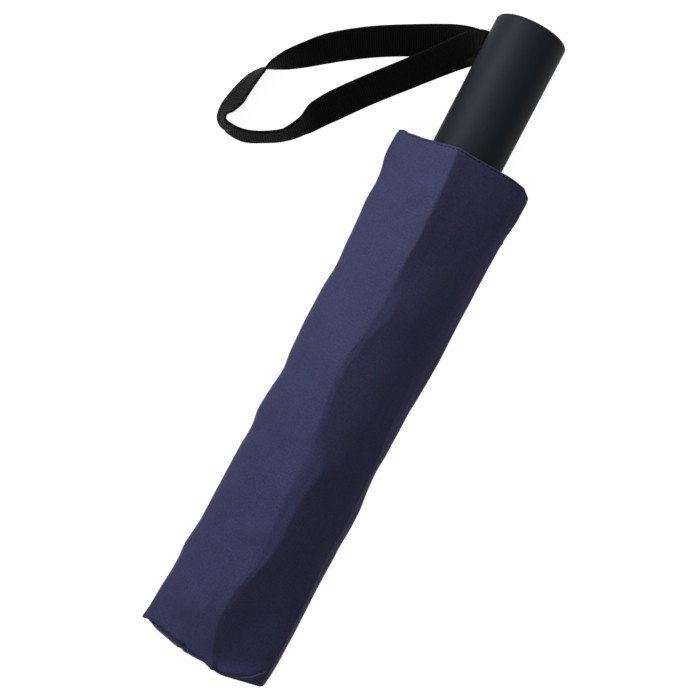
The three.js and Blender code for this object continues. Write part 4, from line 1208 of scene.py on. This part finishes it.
@dataclass
class RolledCanopy:
    """The canopy's cloth, rolled in lapped pleats round the folded ribs, with its tie band."""

    start: float = -137.6
    end: float = 73.0
    radius: float = 18.1
    axis_height: float = 20.4
    rows: int = 160
    columns: int = 288
    pleats: int = 8
    lap: float = 1.3
    wall: float = 0.3
    # how far the pleats wind round in each mm, counted in pleats
    winding: float = 0.0022
    # the closed end: its radius, and how long it takes to reach the roll's own
    nose_radius: float = 10.0
    nose_length: float = 24.0
    # the open end: how far and how long it tapers, the same of its uneven edge, and its turn-in
    taper: float = 1.6
    taper_length: float = 40.0
    ragged: float = 3.0
    ragged_length: float = 12.0
    turn_in: float = 26.0
    # the band, and how far it squeezes the roll
    squeeze: float = 0.35
    band_middle: float = 22.0
    band_width: float = 20.0
    band_radius: float = 18.9
    band_wall: float = 0.4
    band_cut: tuple = (20.0, 119.0)

    def build(self) -> None:
        """Make the roll and the band."""
        rows = np.linspace(self.start, self.end, self.rows)
        angle = np.arange(self.columns) * math.tau / self.columns
        x, turn = np.meshgrid(rows, angle, indexing="ij")
        wound = (x - self.start) * self.winding + 0.06 * np.sin(x / 17.0)
        spiral = turn * self.pleats / math.tau + wound
        saw = spiral - np.floor(spiral)
        edge = smooth_steps(saw, 0.0, 0.07)
        shoulder = np.sqrt(np.clip((x - self.start) / self.nose_length, 0.0, 1.0))
        body = self.nose_radius + (self.radius - self.nose_radius) * shoulder
        skirt = self.taper * smooth_steps(x, self.end - self.taper_length, self.end)
        lapped = self.lap * (saw + (1 - edge)) * shoulder
        creases = 0.16 * unevenness(3, 60, 10, turn * self.radius, x * 0.25)
        band = np.exp(-0.5 * ((x - self.band_middle) / (0.36 * self.band_width)) ** 4)
        r = body - skirt - np.minimum(lapped, 1.25 * self.lap) + creases * shoulder - self.squeeze * band
        r = np.minimum(r, self.radius)
        x = x - self.ragged * saw**2 * smooth_steps(x, self.end - self.ragged_length, self.end)
        depth = np.linspace(0.0, self.turn_in, 10)[:, None]
        points = np.concatenate([
            self._polar(x[:1], turn[:1], np.full_like(turn[:1], 6.0)),
            self._polar(x, turn, r),
            self._polar(x[-1] - 0.4 - depth, turn[-1] + 0 * depth, r[-1] - 0.9 - 0.035 * depth),
        ])
        run = np.concatenate([[self.start - 4.0], rows, rows[-1] + 1.0 + depth[:, 0]])
        weave = weave_grid(np.append(angle, math.tau) * self.radius, run)
        roll = make_surface("canopy_roll", points, weave, wrap=True)
        stand_for(roll, "canopy", Finish.CLOTH, "canopy_frame", self.wall)
        self._tie_band()

    def _polar(self, x: Array, turn: Array, r: Array) -> Array:
        """Points at x, at an angle and a radius round the shaft."""
        return np.stack([x + 0 * r, r * np.cos(turn), r * np.sin(turn) + self.axis_height], axis=-1)

    def _tie_band(self) -> None:
        """The band: a strip round the roll, with turned-under edges and a stitched line along each."""
        half = 0.5 * self.band_width
        turned, tuck, stitch_in, stitch_depth, clearance = 0.25, 0.3, 1.6, 0.07, 0.05
        across = np.concatenate([[turned - half], np.linspace(-half, half, 24), [half - turned]])
        sunk = stitch_depth * (np.abs(np.abs(across) - half + stitch_in) < 0.45)
        sunk[[0, -1]] += tuck
        turn = np.linspace(0.0, math.tau, 220, endpoint=False) + math.pi / 2
        t, a = np.meshgrid(turn, np.arange(len(across)), indexing="ij")
        r = self.band_radius - clearance - sunk[a]
        points = self._polar(self.band_middle + across[a], t, r)
        points = np.concatenate([points, points[:1]])
        weave = weave_grid(across, np.append(turn, turn[-1] + 0.03) * self.band_radius)
        band = make_surface("tie_band_strip", points, weave, flip=True)
        merge_doubles(band)
        stand_for(band, "tie_band", Finish.CLOTH, "canopy_frame", self.band_wall)


# ---- Rigid pieces ----


@dataclass
class Hardware:
    """The handle, the shaft and the folded arms, which keep their solids."""

    arms: int = 8
    segments: tuple = ("main", "stretcher", "middle", "end")
    single: tuple = (
        (Finish.HANDLE, ("handle_shell", "handle_end_cap")),
        (Finish.MOULDING, ("handle_core", "crown", "top_cap", "runner", "tie_snap")),
        (Finish.BRIGHT, ("handle_cross_pin", "strap_pin", "tube_outer", "tube_middle", "tube_inner",
                         "lock_button_upper", "lock_button_lower", "runner_catch", "runner_catch_pin",
                         "crown_wire", "runner_wire")),
    )

    def build(self) -> None:
        """Dress every rigid node."""
        for finish, nodes in self.single:
            for node in nodes:
                dress_node(node, finish)
        for arm in range(1, self.arms + 1):
            for segment in self.segments:
                dress_node(f"rib_{arm}_{segment}", Finish.COATED)


# ---- Studio ----


@dataclass(frozen=True)
class Lamp:
    """A square area lamp that faces the object; its place and its size are in metres."""

    name: str
    place: Triple
    size: float
    power: float
    colour: tuple = WHITE

    def hang(self) -> None:
        """Add the lamp, with its -Z turned towards the origin."""
        light = bpy.data.lights.new(self.name, "AREA")
        light.size, light.energy, light.color = self.size, self.power, self.colour
        lamp = bpy.data.objects.new(self.name, light)
        x, y, z = lamp.location = self.place
        lamp.rotation_euler = (math.atan2(math.hypot(x, y), z), 0.0, math.atan2(y, x) + math.pi / 2)
        bpy.context.scene.collection.objects.link(lamp)


@dataclass
class Studio:
    """A white table seen from straight above, with a key on the +Y side, a fill and a top lamp."""

    # the camera's place in mm, its lens in mm and its roll in degrees
    camera: tuple = (-6.3, 5.9, 503.4)
    lens: float = 60.0
    roll: float = -62.39
    lamps: tuple = (
        Lamp("key_lamp", (0.22, 0.37, 0.33), 0.4, 2.66),
        Lamp("fill_lamp", (-0.6, -0.95, 0.3), 0.7, 0.8, WARM),
        Lamp("top_lamp", (0.0, -0.05, 1.3), 0.8, 2.55, WARM),
    )
    # the sky's strength as light, and how much of the white setting shows in gloss
    sky: float = 0.12
    in_gloss: float = 0.42

    def build(self) -> None:
        """Set up the camera, the lamps, the sky and the table."""
        scene = bpy.context.scene
        lens = bpy.data.cameras.new("camera")
        lens.lens, lens.sensor_width, lens.clip_start = self.lens, 36.0, 0.01
        camera = bpy.data.objects.new("camera", lens)
        camera.location = in_metres(self.camera)
        camera.rotation_euler = (0.0, 0.0, math.radians(self.roll))
        scene.collection.objects.link(camera)
        scene.camera = camera
        scene.view_settings.view_transform = "Standard"
        for lamp in self.lamps:
            lamp.hang()
        self._sky(scene)
        self._table()

    def _seen(self, sh: Shader) -> Term:
        """Where the setting shows as white.

        Args:
            sh: the tree that asks.

        Returns:
            1 for what the camera or a glass shows, less for gloss, 0 for light on the object.
        """
        rays = sh.node("LightPath").outputs
        kinds = [sh.term(rays[name]) for name in ("Is Camera Ray", "Is Glossy Ray", "Is Transmission Ray")]
        return (kinds[0] + kinds[1] * self.in_gloss + kinds[2]).between(0.0, 1.0)

    def _sky(self, scene: bpy.types.Scene) -> None:
        """A plain white sky: full white where it is seen, weaker as light.

        Args:
            scene: the scene that it is for.
        """
        world = bpy.data.worlds.new("sky")
        world.use_nodes = True
        sh = Shader(world.node_tree)
        back = sh.node("Background", Color=rgba(WHITE), Strength=self.sky + (1.0 - self.sky) * self._seen(sh))
        sh.node("OutputWorld", in0=back.outputs[0])
        scene.world = world

    def _table(self) -> None:
        """The table: a wide plane that is grey to the light and glows white where it is seen."""
        sh = Shader("white_table")
        diffuse, faint = (sh.node("BsdfDiffuse", Color=rgba(WHITE, level)) for level in (0.55, 0.3))
        away = sh.node("VectorMath", {"operation": "LENGTH"}, in0=sh.place()).outputs["Value"]
        far = sh.term(away).between(0.25, 0.9)
        glow = sh.node("Emission", Color=rgba(WHITE), Strength=0.94 + 0.06 * far)
        both = sh.node("AddShader", in0=faint.outputs[0], in1=glow.outputs[0])
        sh.surface(sh.node("MixShader", in0=self._seen(sh), in1=diffuse.outputs[0], in2=both.outputs[0]))
        places = (-3000.0, 3000.0)
        points = np.array([[(x, y, -0.2) for x in places] for y in places])
        table = make_surface("table", points, points[..., :2])
        table.data.materials.append(sh.material)


def main() -> None:
    """Build the studio and every sub-assembly."""
    logging.basicConfig(level=logging.INFO, format="%(name)s: %(message)s")
    Studio().build()
    WristStrap().build()
    Sleeve().build()
    RolledCanopy().build()
    Hardware().build()


if __name__ == "__main__":
    main()
